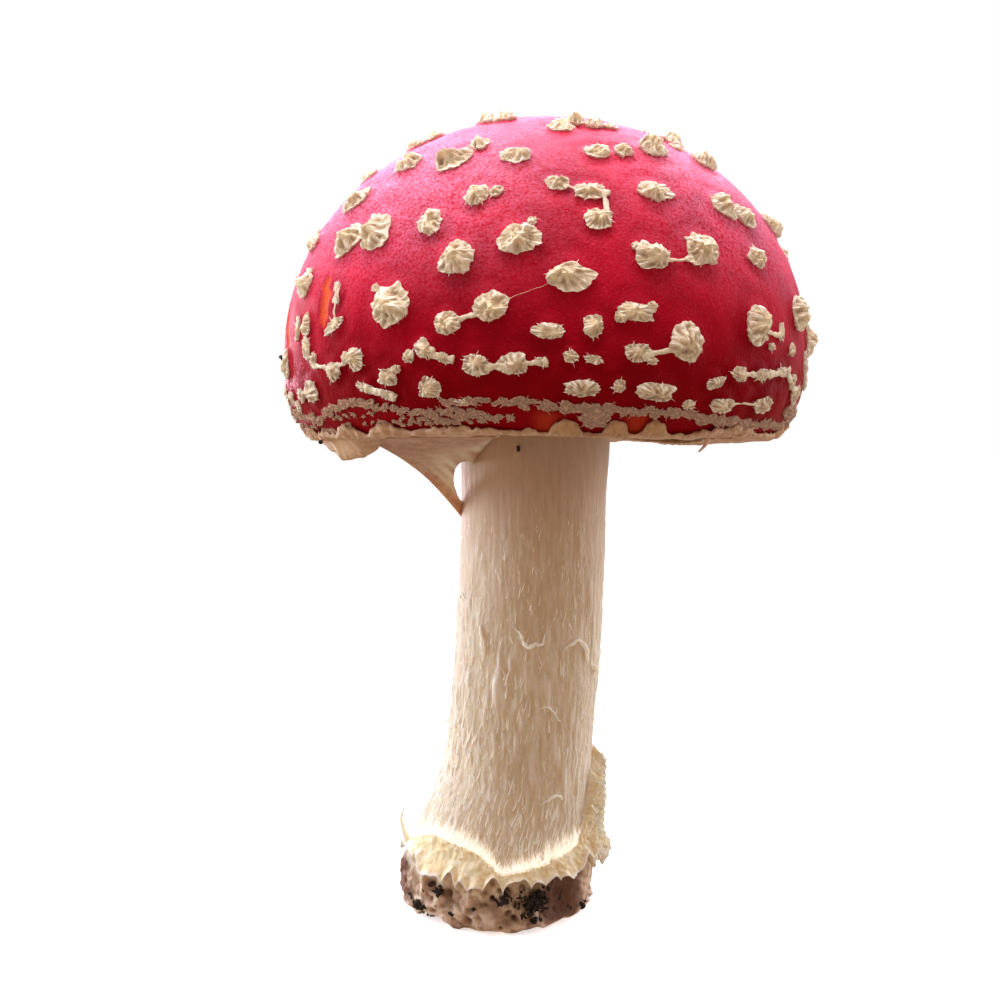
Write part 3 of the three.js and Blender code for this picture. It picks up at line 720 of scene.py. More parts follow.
def torn_outline(half, around, seed, draws):
    """A patch's squarish outline with a few torn points, and the folds that run to the points."""
    turns = circle(around)
    count = draws.randint(4, 8)
    corners = (np.arange(count) + draws.uniform(-0.45, 0.45, count)) * 2 * math.pi / count
    apart = np.abs((turns[:, None] - corners + math.pi) % (2 * math.pi) - math.pi)
    strength = draws.uniform(0.1, 1.0, count)
    fold = (strength * np.maximum(1 - apart / draws.uniform(0.25, 0.8, count), 0)).max(axis=1)
    square = (np.abs(np.cos(turns)) ** 2.3 + np.abs(np.sin(turns)) ** 2.3) ** (-1 / 2.3)
    reach = 0.93 + 0.13 * ring_noise(turns, 0.9, seed) + 0.08 * ring_noise(turns, 0.3, seed + 1)
    reach = square * reach * (1 + 0.24 * fold**1.5) * (1 + 0.06 * draws.uniform(-1, 1, around))
    return np.stack([np.cos(turns) * reach, np.sin(turns) * reach], axis=1) * half, fold


def crumple(flat, half, share, fold, rise, seed, draws):
    """Heights of a patch's points, and its crests (above 0) and clefts (below 0)."""
    # facets: the lowest of a few leaning planes
    planes = draws.randint(4, 7)
    lean = (np.arange(planes) + draws.uniform(-0.4, 0.4, planes)) * 2 * math.pi / planes
    fronts = np.stack([np.cos(lean), np.sin(lean)], axis=1) * draws.uniform(0.3, 1.4, planes)[:, None]
    facets = (draws.uniform(0.8, 1.25, planes) - (flat / half) @ fronts.T).min(axis=-1)
    height = np.minimum(facets, 1.15) + 0.2 * (fold - 0.3) * share * (1.3 - share)
    place = np.concatenate([flat, 0 * flat[..., :1]], axis=-1)
    height = height + 0.17 * (1 - 2 * np.abs(noise(place, 1.4, seed + 2)))
    height = (height + 0.18 * noise(place, 0.5, seed + 3)) * (1 - 0.5 * share**4)
    height = np.maximum(height * rise, 0.22 + 0.1 * rise)
    height = height + 0.2 * share**2 * draws.uniform(-1, 1, len(fold))
    near = (np.roll(height, 1, axis=1) + np.roll(height, -1, axis=1)) / 2
    near = (near + np.roll(height, 2, axis=1) / 2 + np.roll(height, -2, axis=1) / 2) / 2
    return height, (height - near) / max(rise, 0.4) * 5 + 0.3 * noise(place, 0.8, seed + 4)


class Tissue:
    """Warts, flakes and threads of dry veil tissue, gathered on the cap's skin."""

    def __init__(self):
        self.batch, self.shadow, self.pale = Batch(), [], []

    def mark(self, shadow, pale):
        """Masks for the points added since the last mark: a value each, or one for all."""
        count = self.batch.count - sum(map(len, self.shadow))
        self.shadow.append(np.broadcast_to(shadow, count))
        self.pale.append(np.broadcast_to(pale, count))

    def piece(self, name, finish, slot):
        masks = {"shadow": np.concatenate(self.shadow), "pale": np.concatenate(self.pale)}
        self.batch.mesh(name, finish, slot, masks=masks)

    def add_patch(self, azimuth, polar, width, length, rise, draws, around=44, rings=9, turn=0.0, hairs=18):
        """A crumpled tent of thick tissue: folds run from its peak to the torn points of its edge."""
        seed = draws.randint(1, 100000)
        side, down, out = skin_frame(azimuth, polar)
        cos, sin = math.cos(turn), math.sin(turn)
        side, down = side * cos + down * sin, down * cos - side * sin
        origin = skin(azimuth, polar)
        origin = origin + out * skin_waves(origin)
        half = np.array([width, length]) / 2
        edge, fold = torn_outline(half, around, seed, draws)
        peak = draws.uniform(-0.24, 0.24, 2) * np.array([width, length])
        share = np.linspace(0, 1, rings + 1)[1:, None] ** 0.9
        flat = peak + (edge - peak) * share[..., None]
        height, crest = crumple(flat, half, share, fold, rise, seed, draws)
        # painted highlights on the crests, painted shade in the clefts and low hollows, and pale tissue at
        # the frayed edge
        dark = np.clip(-crest, 0, 0.6) + np.clip(0.75 - height / max(rise, 0.3), 0, 0.45) * (1 - share**3)
        # painted shade: warts low on the cap are darker
        dark = dark + 0.26 * smoothstep(polar, 88, 104)
        light = np.clip(crest, 0, 0.9) + 0.4 * share**6
        # two more rings under the edge, the last of them inside the skin
        lip = height[-1]
        flat = np.concatenate([[peak], flat.reshape(-1, 2), edge * 0.95, edge * 0.84])
        height = np.concatenate([[height[0].mean()], height.ravel(), lip * 0.35, np.full(around, -0.6)])
        # the patch bends with the skin, less where the cap is steep
        fall = 0.3 if polar > 95 else 1.0
        level = np.abs(side @ skin_frame(azimuth, polar)[0])
        sag = (flat[:, 0] ** 2 / 90 + flat[:, 1] ** 2 / 84) * (fall + (1 - fall) * level)
        spots = origin + flat[:, :1] * side + flat[:, 1:] * down + (height - sag)[:, None] * out
        faces = [face[::-1] for face in fan_faces(0, list(range(1, around + 1)))]
        faces += [tuple(i + 1 for i in face) for face in grid_faces(rings + 2, around)]
        self.batch.add(spots, faces, smooth=False)
        # painted shade on the two rings under the edge
        rest = [np.full(around, 0.5), np.full(around, 1.0)]
        shadow = np.concatenate([[0], dark.ravel(), *rest]).clip(0, 1)
        self.mark(shadow, np.concatenate([[0.3], light.ravel(), *rest]) * (height > 0))
        if hairs:
            picked = draws.randint(0, around, hairs)
            away = edge[picked, :1] * side + edge[picked, 1:] * down
            root = origin + 0.86 * away + out * (0.55 * lip[picked] - sag[-around:][picked])[:, None]
            stray = side * draws.normal(0, 0.3, (hairs, 1)) + down * draws.normal(0, 0.3, (hairs, 1))
            tip = root + (unit(away) + stray) * draws.uniform(0.2, 0.75, (hairs, 1))
            tip = tip + out * draws.uniform(-0.35, 0.3, (hairs, 1))
            widths = draws.uniform(0.1, 0.27, hairs)
            add_fibres(self.batch, root, tip, widths, out * draws.uniform(0, 0.15, (hairs, 1)))
            self.mark(0.0, 0.8)

    def add_thread(self, start, end, wide, thin):
        """A crumpled thread over the skin between two places, thinnest in the middle."""
        t = np.linspace(0, 1, 17)
        azimuth, polar = start[0] + (end[0] - start[0]) * t, start[1] + (end[1] - start[1]) * t
        spots = skin(azimuth, polar)
        out = skin_frame(azimuth, polar)[2]
        widths = thin + (wide - thin) * np.abs(2 * t - 1) ** 2.5
        widths = widths * (1 + 0.35 * noise(spots, 0.8, 31)) * (1 + 0.4 * noise(spots, 0.4, 32))
        path = spots + out * (skin_waves(spots) + 0.1 + 0.1 * np.minimum(widths, 2))[:, None]
        path = path + 0.16 * np.stack([noise(spots, 0.7, seed) for seed in (33, 34, 35)], axis=-1)
        add_strand(self.batch, path, widths, 0.3 * widths + 0.08, out)
        self.mark(0.0, 0.3)


def wart_finish(name, light, crease, fringe):
    # the warts and rim flakes glow faintly: painted light
    return tissue_finish(
        name, colour(light), colour(crease), grain=0.55, relief=0.26, glow=0.1, shine=0.04,
        shadow=colour("wart_edge"), pale=colour(fringe),
    )


class MUSHROOM_OT_warts(PieceOperator):
    """Add the raised warts with their frayed edges, and the threads between them"""

    bl_idname = "mushroom.warts"
    bl_label = "Warts"

    def build(self, sizes):
        finish = wart_finish("wart_tissue", "wart", "wart_crease", "wart_highlight_and_fringe")
        warts, smaller = Tissue(), Tissue()
        for i, (azimuth, polar, width, length, turn) in enumerate(all_warts()):
            draws = np.random.RandomState(WART_SEED + i)
            rise = wart_rise(polar, width, length) * draws.uniform(0.7, 1.0) * sizes.wart_lift
            rise = rise * (0.9 if i < len(FRONT_WARTS) else 0.34 + 0.28 * smoothstep(polar, 12, 24))
            hairs = int(1.2 * (width + length))
            spread = 0.97 - 0.08 * smoothstep(polar, 92, 102)
            width, length = spread * width, spread * length
            warts.add_patch(azimuth, polar, width, length, rise, draws, turn=rad(turn), hairs=hairs)
        warts.piece("warts", finish, "volva")
        for i, (azimuth, polar, width, length, turn) in enumerate(SMALL_WARTS):
            draws = np.random.RandomState(WART_SEED * 2 + i)
            smaller.add_patch(azimuth, polar, width, length, 0.75, draws, 26, 5, rad(turn), 3)
        for thread in [*WART_THREADS, WART_HAIR]:
            smaller.add_thread(*thread)
        smaller.piece("small_warts", finish, "volva")


class MUSHROOM_OT_rim(PieceOperator):
    """Add the bands of flakes that fray along the cap's rim"""

    bl_idname = "mushroom.rim"
    bl_label = "Rim Flakes"

    # each band's path of azimuth and polar measure, then its spread, how many flakes and their size
    bands = [
        ([(-77, 119), (-68, 120), (-59, 123)], 0.5, 15, 1.8),
        ([(-56, 120.5), (-50, 117.8), (-43, 116.8), (-37, 119)], 0.45, 19, 1.6),
        ([(-37, 119), (-26, 121.5), (-14, 122)], 0.5, 16, 1.4),
        ([(-21, 117.5), (-11, 117.5), (0, 118.5), (8, 119.3)], 0.4, 24, 1.4),
        ([(8, 119.3), (18, 120.3), (26, 121.5), (34, 123.5)], 0.4, 20, 1.4),
        ([(34, 123.5), (48, 125), (62, 125.5)], 0.5, 18, 1.6),
        ([(-72, 125), (-58, 126.5), (-44, 126), (-28, 125.5), (-12, 125.5)], 0.4, 22, 1.1),
        ([(-57, 122.5), (-46, 121.5), (-36, 123)], 0.7, 7, 1.0),
        ([(-6, 119.8), (8, 120.9), (22, 122), (30, 123.3)], 0.35, 18, 1.4),
        ([(5.2, 123.2), (9, 123.4)], 1.3, 12, 1.9),
        ([(30, 124.2), (44, 125.2), (60, 126)], 0.6, 18, 1.4),
        ([(-32, 123.6), (-20, 124), (-7, 124.4)], 0.6, 18, 1.4),
        ([(62, 119), (72, 121), (84, 121)], 1.2, 18, 2.2),
        ([(84, 121), (180, 119), (270, 120), (283, 119)], 1.2, 120, 2.2),
        ([(62, 126), (180, 126), (288, 126)], 0.9, 130, 1.9),
    ]

    def build(self, sizes):
        finish = wart_finish("rim_tissue", "rim", "rim_deep", "rim_highlight_and_fringe")
        tissue = Tissue()
        for k, (path, spread, count, size) in enumerate(self.bands):
            draws = np.random.RandomState(500 + k)
            turns, levels = np.array(path, float).T
            steps = np.arange(count) + draws.uniform(-0.45, 0.45, count)
            azimuth = turns[0] + (turns[-1] - turns[0]) * steps / count
            polar = np.interp(azimuth, turns, levels) + 0.35 * np.sin(rad(azimuth * 11))
            polar = polar + draws.normal(0, spread, count)
            for a, p in zip(azimuth, np.minimum(polar, RIM_POLAR - 1.5)):
                s = size * draws.uniform(0.6, 1.3)
                width, length = s * draws.uniform(0.9, 1.7), s * draws.uniform(0.45, 0.8)
                tissue.add_patch(a, p, width, length, 0.3 * s, draws, 18, 4, draws.uniform(-0.6, 0.6), 3)
        tissue.piece("rim_flakes", finish, "veil")


class MUSHROOM_OT_veil(PieceOperator):
    """Add the torn veil: the band round the rim and the tongue that holds on to the stem"""

    bl_idname = "mushroom.veil"
    bl_label = "Veil"

    # rounded scales of veil at the front of the rim: azimuth, half width, how tall
    scales = [
        (-62, 3.5, 0.5), (-50, 4.5, 0.6), (-39, 4.5, 0.6),
        (1.6, 3.0, 0.95), (11.5, 2.5, 0.85), (20, 2.6, 0.85),
    ]
    # the share of the band that lies on the outside of the rim, and the radius it turns under at
    outer = 0.45
    rim_radius = 39.6

    def build(self, sizes):
        thickness = sizes.veil_thickness / MM
        light, dark = colour("veil"), colour("veil_deep")
        finish = tissue_finish(
            "veil_tissue", light, dark, glow=0.3, shadow=colour("rim_deep"), pale=colour("veil_tan")
        )
        self.add_band(finish, thickness)
        # the sheet takes the veil's colours darkened: painted shade under the cap
        light, dark = scaled(light, (0.74, 0.68, 0.68)), scaled(dark, (0.8, 0.74, 0.86))
        finish = tissue_finish(
            "shaded_veil_sheet", light, dark, grain=1.6, relief=0.05, glow=0.4, pale=colour("stem")
        )
        self.add_tongue(finish, thickness)
        # a thread that hangs from the rim
        batch = Batch()
        t = np.linspace(0, 1, 8)
        path = on_cap(35 - 3.2 * t, 40.2 + 0.3 * t, -0.6 - 1.9 * t**0.7 - rim_drop(35))
        add_strand(batch, path, 0.7 - 0.45 * t, 0.5 - 0.25 * t, np.tile([0.4, -0.9, 0.1], (len(t), 1)))
        batch.mesh("veil_thread", finish, "veil")

    def fans(self, azimuth):
        """Rounded scales of veil on the rim: how tall each stands, and the place across it."""
        draws = np.random.RandomState(77)
        scales = list(self.scales)
        for turn in range(70, 292, 12):
            scales.append((turn + draws.uniform(-4, 4), draws.uniform(3, 5.5), draws.uniform(0.2, 1)))
        fan, across = 0 * azimuth, 0 * azimuth
        for turn, half, tall in scales:
            away = wrapped(azimuth - turn) / half
            height = tall * np.sqrt(np.maximum(1 - away**2, 0))
            across = np.where(height > fan, away, across)
            fan = np.maximum(fan, height)
        return fan, across

    def add_band(self, finish, thickness):
        """The band: down the outside of the rim, then inwards under it to a torn edge."""
        columns, rows = 640, 24
        azimuth, t = round_grid(columns, np.linspace(0, 1, rows))
        ring = level_ring(azimuth, 40)
        ragged = 1.2 * noise(ring, 1.9, 41) + 1.2 * noise(ring, 6, 42) + 0.9 * noise(ring, 0.7, 43)
        fan, across = self.fans(azimuth)
        feather = hump(azimuth - 39, 15) + 0.65 * hump(azimuth + 24, 17)
        upper = 128.7 - 0.7 * ragged * (1 - 0.4 * fan + feather) - 5.2 * fan - 2.6 * feather
        upper = np.minimum(upper, RIM_POLAR - 0.5)
        down = np.clip(t / self.outer, 0, 1)
        polar = upper + (RIM_POLAR - upper) * down
        over = skin(azimuth, polar)
        out = skin_frame(azimuth, polar)[2]
        crumple = 0.25 + 0.3 * layered(over, (1.2, 1.2, 0.6), 44) + 0.25 * wave(down)
        ribs = np.sin(5.5 * across / (0.75 - np.minimum(t, self.outer)) + 2 * noise(over, 1.5, 57))
        crumple = crumple + fan * (0.2 * ribs + 0.16 * noise(over, 0.7, 50) + 0.12)
        over = over + out * crumple[..., None]
        s = np.clip((t - self.outer) / (1 - self.outer), 0, 1)
        lobe = hump(azimuth + 68, 26)
        ripple = 1.3 * np.cos(rad(5 * azimuth + 20)) + 0.9 * np.cos(rad(13 * azimuth))
        tear = 32.4 + ripple + 3.4 * lobe + 0.7 * noise(ring, 1.2, 45) + 0.4 * noise(ring, 0.5, 46)
        edge_height = -0.4 + 0.5 * np.cos(rad(7 * azimuth)) - 2.6 * lobe
        # lobes of loose veil hang below the rim
        hang = 2.4 * smoothstep(hump(azimuth + 57.5, 13), 0.1, 0.75)
        hang = hang + 0.4 * hump(azimuth - 33, 5) + 0.4 * bumps(ring, 5, 47)
        radius = self.rim_radius + (tear - self.rim_radius) * s
        height = -0.25 + (edge_height + 0.25) * s - rim_drop(azimuth)
        height = height - (0.15 + hang) * wave(np.clip(s * 1.35, 0, 1)) + 1.2 * s * hump(azimuth - 20, 80)
        height = height + 0.22 * noise(ring + np.stack([0 * s, 0 * s, s * 9], axis=-1), 1.5, 48)
        under = on_cap(azimuth, radius, height)
        blend = smoothstep(t, 0.40, 0.52)[..., None]
        points = over * (1 - blend) + under * blend
        tan = np.clip(fan * (1 - smoothstep(t, 0.25, 0.45)) + 0.8 * hump(azimuth + 59, 11) * (t > 0.3), 0, 1)
        # painted shade along the band's upper edge and in the grooves between the scales' ribs, with random
        # darker patches
        dark = 0.8 * smoothstep(0.1 - t, 0, 0.1)
        dark = dark + 0.5 * np.clip(noise(over, 1.4, 49) * 2 - 0.4, 0, 1) * (t < 0.4)
        dark = dark + 0.6 * fan * np.maximum(-ribs, 0) * (t < self.outer)
        dark = np.clip(dark, 0, 1) * (1 - 0.3 * fan)
        add_piece(
            "veil_band", points, grid_faces(rows, columns), finish, "veil", replaces=("partial_veil",),
            thickness=thickness, masks={"shadow": dark, "pale": tan * (1 - dark)},
        )

    def add_tongue(self, finish, thickness):
        """The stretched sheet from the rim (v is 0) to the stem (v is 1), with its free edge where u is 0."""
        rows, columns = 70, 80
        u, v = np.meshgrid(np.linspace(0, 1, rows), np.linspace(0, 1, columns), indexing="ij")
        azimuth = -50 + 36 * u
        rim = on_cap(azimuth, 37.6, -0.7 - rim_drop(azimuth))
        foot = on_stem(-86 + 58 * u**1.4, RIM_HEIGHT - 14.2 + 15.6 * u**0.9, 0.05)
        points = rim * (1 - v[..., None]) + foot * v[..., None]
        points[..., 2] += wave(v) * (1.8 * (1 - u) ** 2 - 0.5 * u)
        folds = 0.28 * noise(np.stack([u * 22, v * 5, 0 * u], axis=-1), 1.6, 51)
        points[..., 1] += wave(v) * (2 * folds - 0.6 * (1 - u))
        # a tear between the tongue and the stem
        tear = ((v - 0.97) / (0.02 + 0.42 * u)) ** 2 + np.abs((u - 0.37) / 0.22) ** 3
        tear = tear + 0.08 * noise(np.stack([u * 40, v * 40, 0 * u], axis=-1), 1.5, 52)
        whole = tear.ravel() > 1
        faces = [face for face in grid_faces(rows, columns, closed=False) if whole[face].all()]
        streaks = noise(np.stack([u * 16, v * 2.5, 0 * u], axis=-1), 1.0, 53)
        pale = np.clip(smoothstep(v, 0.25, 0.8) * (0.5 + 0.6 * streaks) * smoothstep(u, 0, 0.15), 0, 1)
        points, faces, used = without_loose(points.reshape(-1, 3), faces)
        masks = {"pale": pale.ravel()[used]}
        add_piece("veil_tongue", points, faces, finish, "veil", thickness=thickness, masks=masks)


def without_loose(points, faces):
    """Drops the points that no face uses, and tells which were kept."""
    used = sorted({i for face in faces for i in face})
    place = {old: new for new, old in enumerate(used)}
    return points[used], [tuple(place[i] for i in face) for face in faces], used


class MUSHROOM_OT_gills(PieceOperator):
    """Add the thin radial gills under the cap"""

    bl_idname = "mushroom.gills"
    bl_label = "Gills"

    # where gills of each length begin, out from the stem, and where all of them end
    inner_ends = (15.6, 30.0, 23.0, 30.0)
    outer_end = 39.2
    # the plate that the gills hang from
    plate_radii = (15.2, 21, 27, 31, 35, 38, 39.6)

    def build(self, sizes):
        finish = tissue_finish(
            "gill_tissue", colour("gill"), colour("gill_deep"), grain=0.7, streak=(1, 1, 0.4), relief=0.05,
            glow=0.3,
        )
        batch = Batch()
        draws = np.random.RandomState(9)
        count = sizes.gill_count
        for i in range(count):
            azimuth = 360 * i / count + draws.uniform(-0.3, 0.3)
            inner = self.inner_ends[i % 4] + draws.uniform(-0.2, 0.8)
            self.add_gill(batch, azimuth, inner, draws)
        around = 96
        azimuth = np.arange(around) * 360 / around
        plate = [on_cap(azimuth, r, ceiling(r) - 0.25) for r in self.plate_radii]
        plate += [on_cap(azimuth, r, ceiling(r) - 0.9) for r in reversed(self.plate_radii)]
        plate.append(plate[0])
        batch.add(np.array(plate), [face[::-1] for face in grid_faces(len(plate), around)])
        batch.mesh("gills", finish, "gills", replaces=("gills",))

    def add_gill(self, batch, azimuth, inner, draws):
        """One blade, a little thinner at its edge than at its root, swaying along its length."""
        steps = 12
        share = np.linspace(0, 1, steps)
        radius = inner + (self.outer_end - inner) * share
        top = ceiling(radius) - 0.5
        full = 3.2 + 5.0 * np.maximum(1 - (radius - 15.6) / 23.4, 0) ** 2.5
        ease = smoothstep(share, 0, 0.3 if inner > 16.5 else 0.06)
        low = top - (top - full) * ease
        middle = (top + low) / 2
        sway = 0.5 * np.sin(share * 7 + draws.uniform(0, 6)) * share * (1 - share)
        half = np.degrees(0.2 / radius)
        bend = azimuth + np.degrees(sway / radius)
        section = [(-1, top), (-0.9, middle), (-0.5, low), (0.5, low), (0.9, middle), (1, top)]
        points = np.stack([on_cap(bend + side * half, radius, level) for side, level in section], axis=1)
        batch.add(points, capped_faces(steps, len(section)))


def scallop_at(azimuth):
    """The hem of the collar in azimuth: 0 at each tooth and 1 in the arch between two teeth."""
    teeth = bpy.context.scene.mushroom_sizes.tooth_count
    ring = level_ring(azimuth)
    phase = (azimuth + 3 + 9 * noise(ring, 9, 71) + 4 * noise(ring, 4, 76)) * teeth / 360
    return np.sin(math.pi * (phase % 1)) ** 0.6


class MUSHROOM_OT_stem(PieceOperator):
    """Add the fibrous stem with its lumpy bulb, its scales and its torn ridges"""

    bl_idname = "mushroom.stem"
    bl_label = "Stem and Bulb"

    columns = 450
    # the big smooth scoop on the right of the bulb's front: azimuth, height
    scoop = (43, 4.8)
    # the bulb's larger hollows: azimuth, height, radius, depth
    hollows = [
        (*scoop, 4.6, 2.0), (-4, 4.6, 2.6, 1.0), (-30, 3.6, 1.2, 0.9), (6, 2.4, 2.2, 1.1),
        (-60, 6.0, 1.8, 0.9),
    ]
    # torn ridges: azimuths and heights along each, and its size
    ridges = [
        ([-12, -8, -5, -1, 4, 9, 11], [51.2, 50.4, 48.9, 48.3, 48.4, 48.9, 50.6], 1.0),
        ([26, 31, 38, 44, 48, 51], [47.6, 48.5, 48.7, 48.0, 46.6, 44.2], 1.0),
        ([-42, -40, -37, -38], [52.2, 50.5, 47.5, 45.2], 0.5),
        ([-74, -68, -60], [55.2, 55.9, 55.4], 0.5), ([60, 63, 66], [43.6, 43.0, 42.2], 1.1),
        ([8, 15, 22, 29], [37.0, 38.0, 36.6, 34.8], 0.45),
        ([100, 112, 124, 133], [58, 56.5, 57, 59], 0.8), ([160, 172, 183], [40, 38.8, 39.5], 0.8),
        ([205, 214, 226, 236], [62, 60.6, 60.4, 61.6], 0.7),
        ([20, 27, 35, 41], [21.0, 22.4, 22.2, 20.5], 0.6), ([250, 262, 270], [33, 32, 33.2], 0.8),
    ]

    def build(self, sizes):
        # finer rows on the bulb
        heights = np.concatenate([np.linspace(0, 14, 66)[:-1], np.linspace(14, STEM_TOP, 143)])[::-1]
        azimuth, height = round_grid(self.columns, heights)
        points = on_stem(azimuth, height)
        relief, shadow, pale = self.relief(points, azimuth, height)
        points = on_stem(azimuth, height, relief)
        # the foot is torn off unevenly
        foot = smoothstep(2.2 - height, 0, 2.2)
        ring = level_ring(azimuth)
        ragged = 0.5 + 1.1 * noise(ring, 7, 61) + 0.7 * noise(ring, 2.2, 62) + 0.9 * hump(azimuth - 38, 30)
        points[..., 2] += foot * np.clip(ragged, 0, 2.2)
        under = np.array([points[-1] * (s, s, s**0.5) for s in (0.9, 0.75, 0.5, 0.25)])
        under[..., 2] = np.maximum(under[..., 2] + 0.35 * bumps(under, 2.5, 63), 0.02)
        # painted shade of the cap over the upper stem
        top = 0.5 * smoothstep(height, 36, 76) + 0.5 * smoothstep(height, 60, 82)
        masks = {"shadow": shadow, "earth": 1 - smoothstep(height, 6.0, 10.5), "top": top, "pale": pale}
        grid = np.concatenate([points, under])
        body = closed_body(
            grid, (CAP_CENTRE_X, 0, STEM_TOP), (0, 0, 0.2), masks, {"shadow": 0.4, "earth": 1.0}
        )
        points, faces, masks = body
        add_piece("stem_body", points, faces, self.stem_finish(), "stem", replaces=("stem",), masks=masks)
        self.add_scales()

    def relief(self, points, azimuth, height):
        """How far the surface stands out, where painted shade and soil stains darken it, and how pale its
        fibres.
        """

        def away_from(turn, level):
            return np.linalg.norm(points - on_stem(turn, level), axis=-1)

        low = smoothstep(height, 84, 30)
        fibres = bumps(points, (0.9, 0.9, 8), 1) + 0.6 * bumps(points, (0.5, 0.5, 5), 2)
        flakes = bumps(points, (1.5, 1.5, 3.2), 3, 0.15) * bumps(points, (0.6, 0.6, 2), 4)
        tufts = bumps(points, (0.9, 0.9, 3.2), 8) * bumps(points, (4, 4, 9), 9, -0.4)
        shape = (0.08 + 0.12 * low) * fibres + 0.7 * low * flakes + 0.6 * low * tufts
        shape = shape + 0.25 * noise(points, 9, 7)
        pale = np.clip(low * (2.2 * flakes + 0.8 * tufts + 0.5 * fibres - 0.15), 0, 1)
        pale = pale * smoothstep(height, 11, 15)
        bulb = 1 - smoothstep(height, 8, 13)
        edge = smoothstep(height, 0, 3.0)
        lumps = 0.5 * np.cos(rad(5 * azimuth + 30)) + 0.3 * np.cos(rad(8 * azimuth - 50 + 9 * height))
        lumps = lumps * (1 - smoothstep(height, 6, 14)) * edge - 0.4
        # folds run down from the collar's teeth
        lumps = lumps + 0.7 * (1 - scallop_at(azimuth)) ** 2 * smoothstep(height, 3.5, 7.5)
        rough = 0.4 * noise(points, 5, 11) + 0.3 * noise(points, (1.6, 1.6, 3.2), 12)
        rough = rough + 0.24 * noise(points, 0.8, 13)
        draws = np.random.RandomState(15)
        hollows = list(self.hollows)
        for _ in range(150):
            place = draws.uniform(0, 360), draws.uniform(0.6, 8)
            hollows.append((*place, draws.uniform(0.35, 1.3), draws.uniform(0.4, 1.1)))
        pits = np.zeros(height.shape)
        for turn, level, radius, depth in hollows:
            pits = np.maximum(pits, depth * np.exp(-((away_from(turn, level) / radius) ** 2) * 1.4))
        sponge = bumps(points, 1.3, 14, 0.2) * 1.5
        scoop = smoothstep(5.9 - away_from(*self.scoop), 0, 1.6)
        rough = (rough - sponge) * (0.35 + 0.65 * edge) * (1 - 0.7 * scoop)
        relief = shape * (1 - bulb) + np.minimum(lumps + rough, 0.55) * bulb - pits * bulb
        # painted shade in the pits, in the scoop and on the bulb's left side; darker in patches along the
        # foot; stained by soil round the crumbs
        darker_foot = (1 - smoothstep(height, 0.4, 1.9)) * smoothstep(noise(points, 3.5, 16), -0.1, 0.4)
        side = hump(azimuth + 84, 38) * smoothstep(height, 0.5, 2.5) * (1 - smoothstep(height, 8, 10))
        pit_shade = np.clip((0.45 * pits + 0.55 * sponge) * bulb, 0, 1)
        shadow = np.max([pit_shade, 0.95 * scoop, 0.95 * side, 0.75 * darker_foot], axis=0)
        for turn, level, spread, count in MUSHROOM_OT_soil.clusters:
            stain = min(count / 70, 1) ** 0.5 * np.exp(-((away_from(turn, level) / (1.45 * spread)) ** 2))
            shadow = np.maximum(shadow, stain)
        relief = np.where(height < 1.5, np.minimum(relief, 0.35), relief)
        return relief + (1.9 + 0.9 * hump(azimuth + 75, 50)) * (1 - edge), shadow, pale

    def stem_finish(self):
        material, f = new_finish("stem_fibre")
        white, cream, tan = colour("stem"), colour("stem_shade"), colour("bulb")
        long = (1, 1, 0.14)
        streaks = f.grain(0.7, 4, long, 0.6)
        base = f.mix(f.step(streaks, 0.3, 0.75) * 0.75, cream, white)
        base = f.mix(f.mask("pale") * 0.75, base, colour("fringe"))
        flecks = f.step(f.grain(0.5, 3, (1, 1, 0.4)), 0.5, 0.66) * (1 - f.mask("top"))
        base = f.mix(flecks * 0.45, base, colour("fringe"))
        # painted shade of the cap: the upper stem turns pinkish tan
        base = f.mix(f.mask("top") * 0.65, base, colour("stem_cap_shade"))
        base = f.mix(f.step(f.grain(5, 3, (1, 1, 0.4)), 0.5, 0.8) * 0.25, base, cream)
        earthy = f.mix(f.step(f.grain(2.6, 4), 0.38, 0.66), tan, colour("bulb_deep"))
        speckled = f.mix(f.step(f.grain(0.7, 3), 0.64, 0.74) * 0.7, earthy, scaled(tan, 0.3))
        base = f.mix(f.mask("earth"), base, speckled)
        # painted shade on the bulb, and soil stains
        base = f.mix(f.mask("shadow"), base, scaled(colour("bulb_deep"), (0.3, 0.2, 0.16)))
        normal = f.bump(streaks, 0.14)
        normal = f.bump(flecks, 0.1, normal)
        normal = f.bump(f.grain(0.28, 3, (1, 1, 0.3)), 0.05, normal)
        f.surface(
            base_color=base, roughness=0.6 + 0.25 * f.grain(1.4, 3, long), normal=normal,
            subsurface_weight=0.35, subsurface_radius=(0.004, 0.003, 0.0024), subsurface_scale=0.9,
        )
        return material

    def add_scales(self):
        """Loose fibres that lift off the stem, thickest low down, and the torn ridges."""
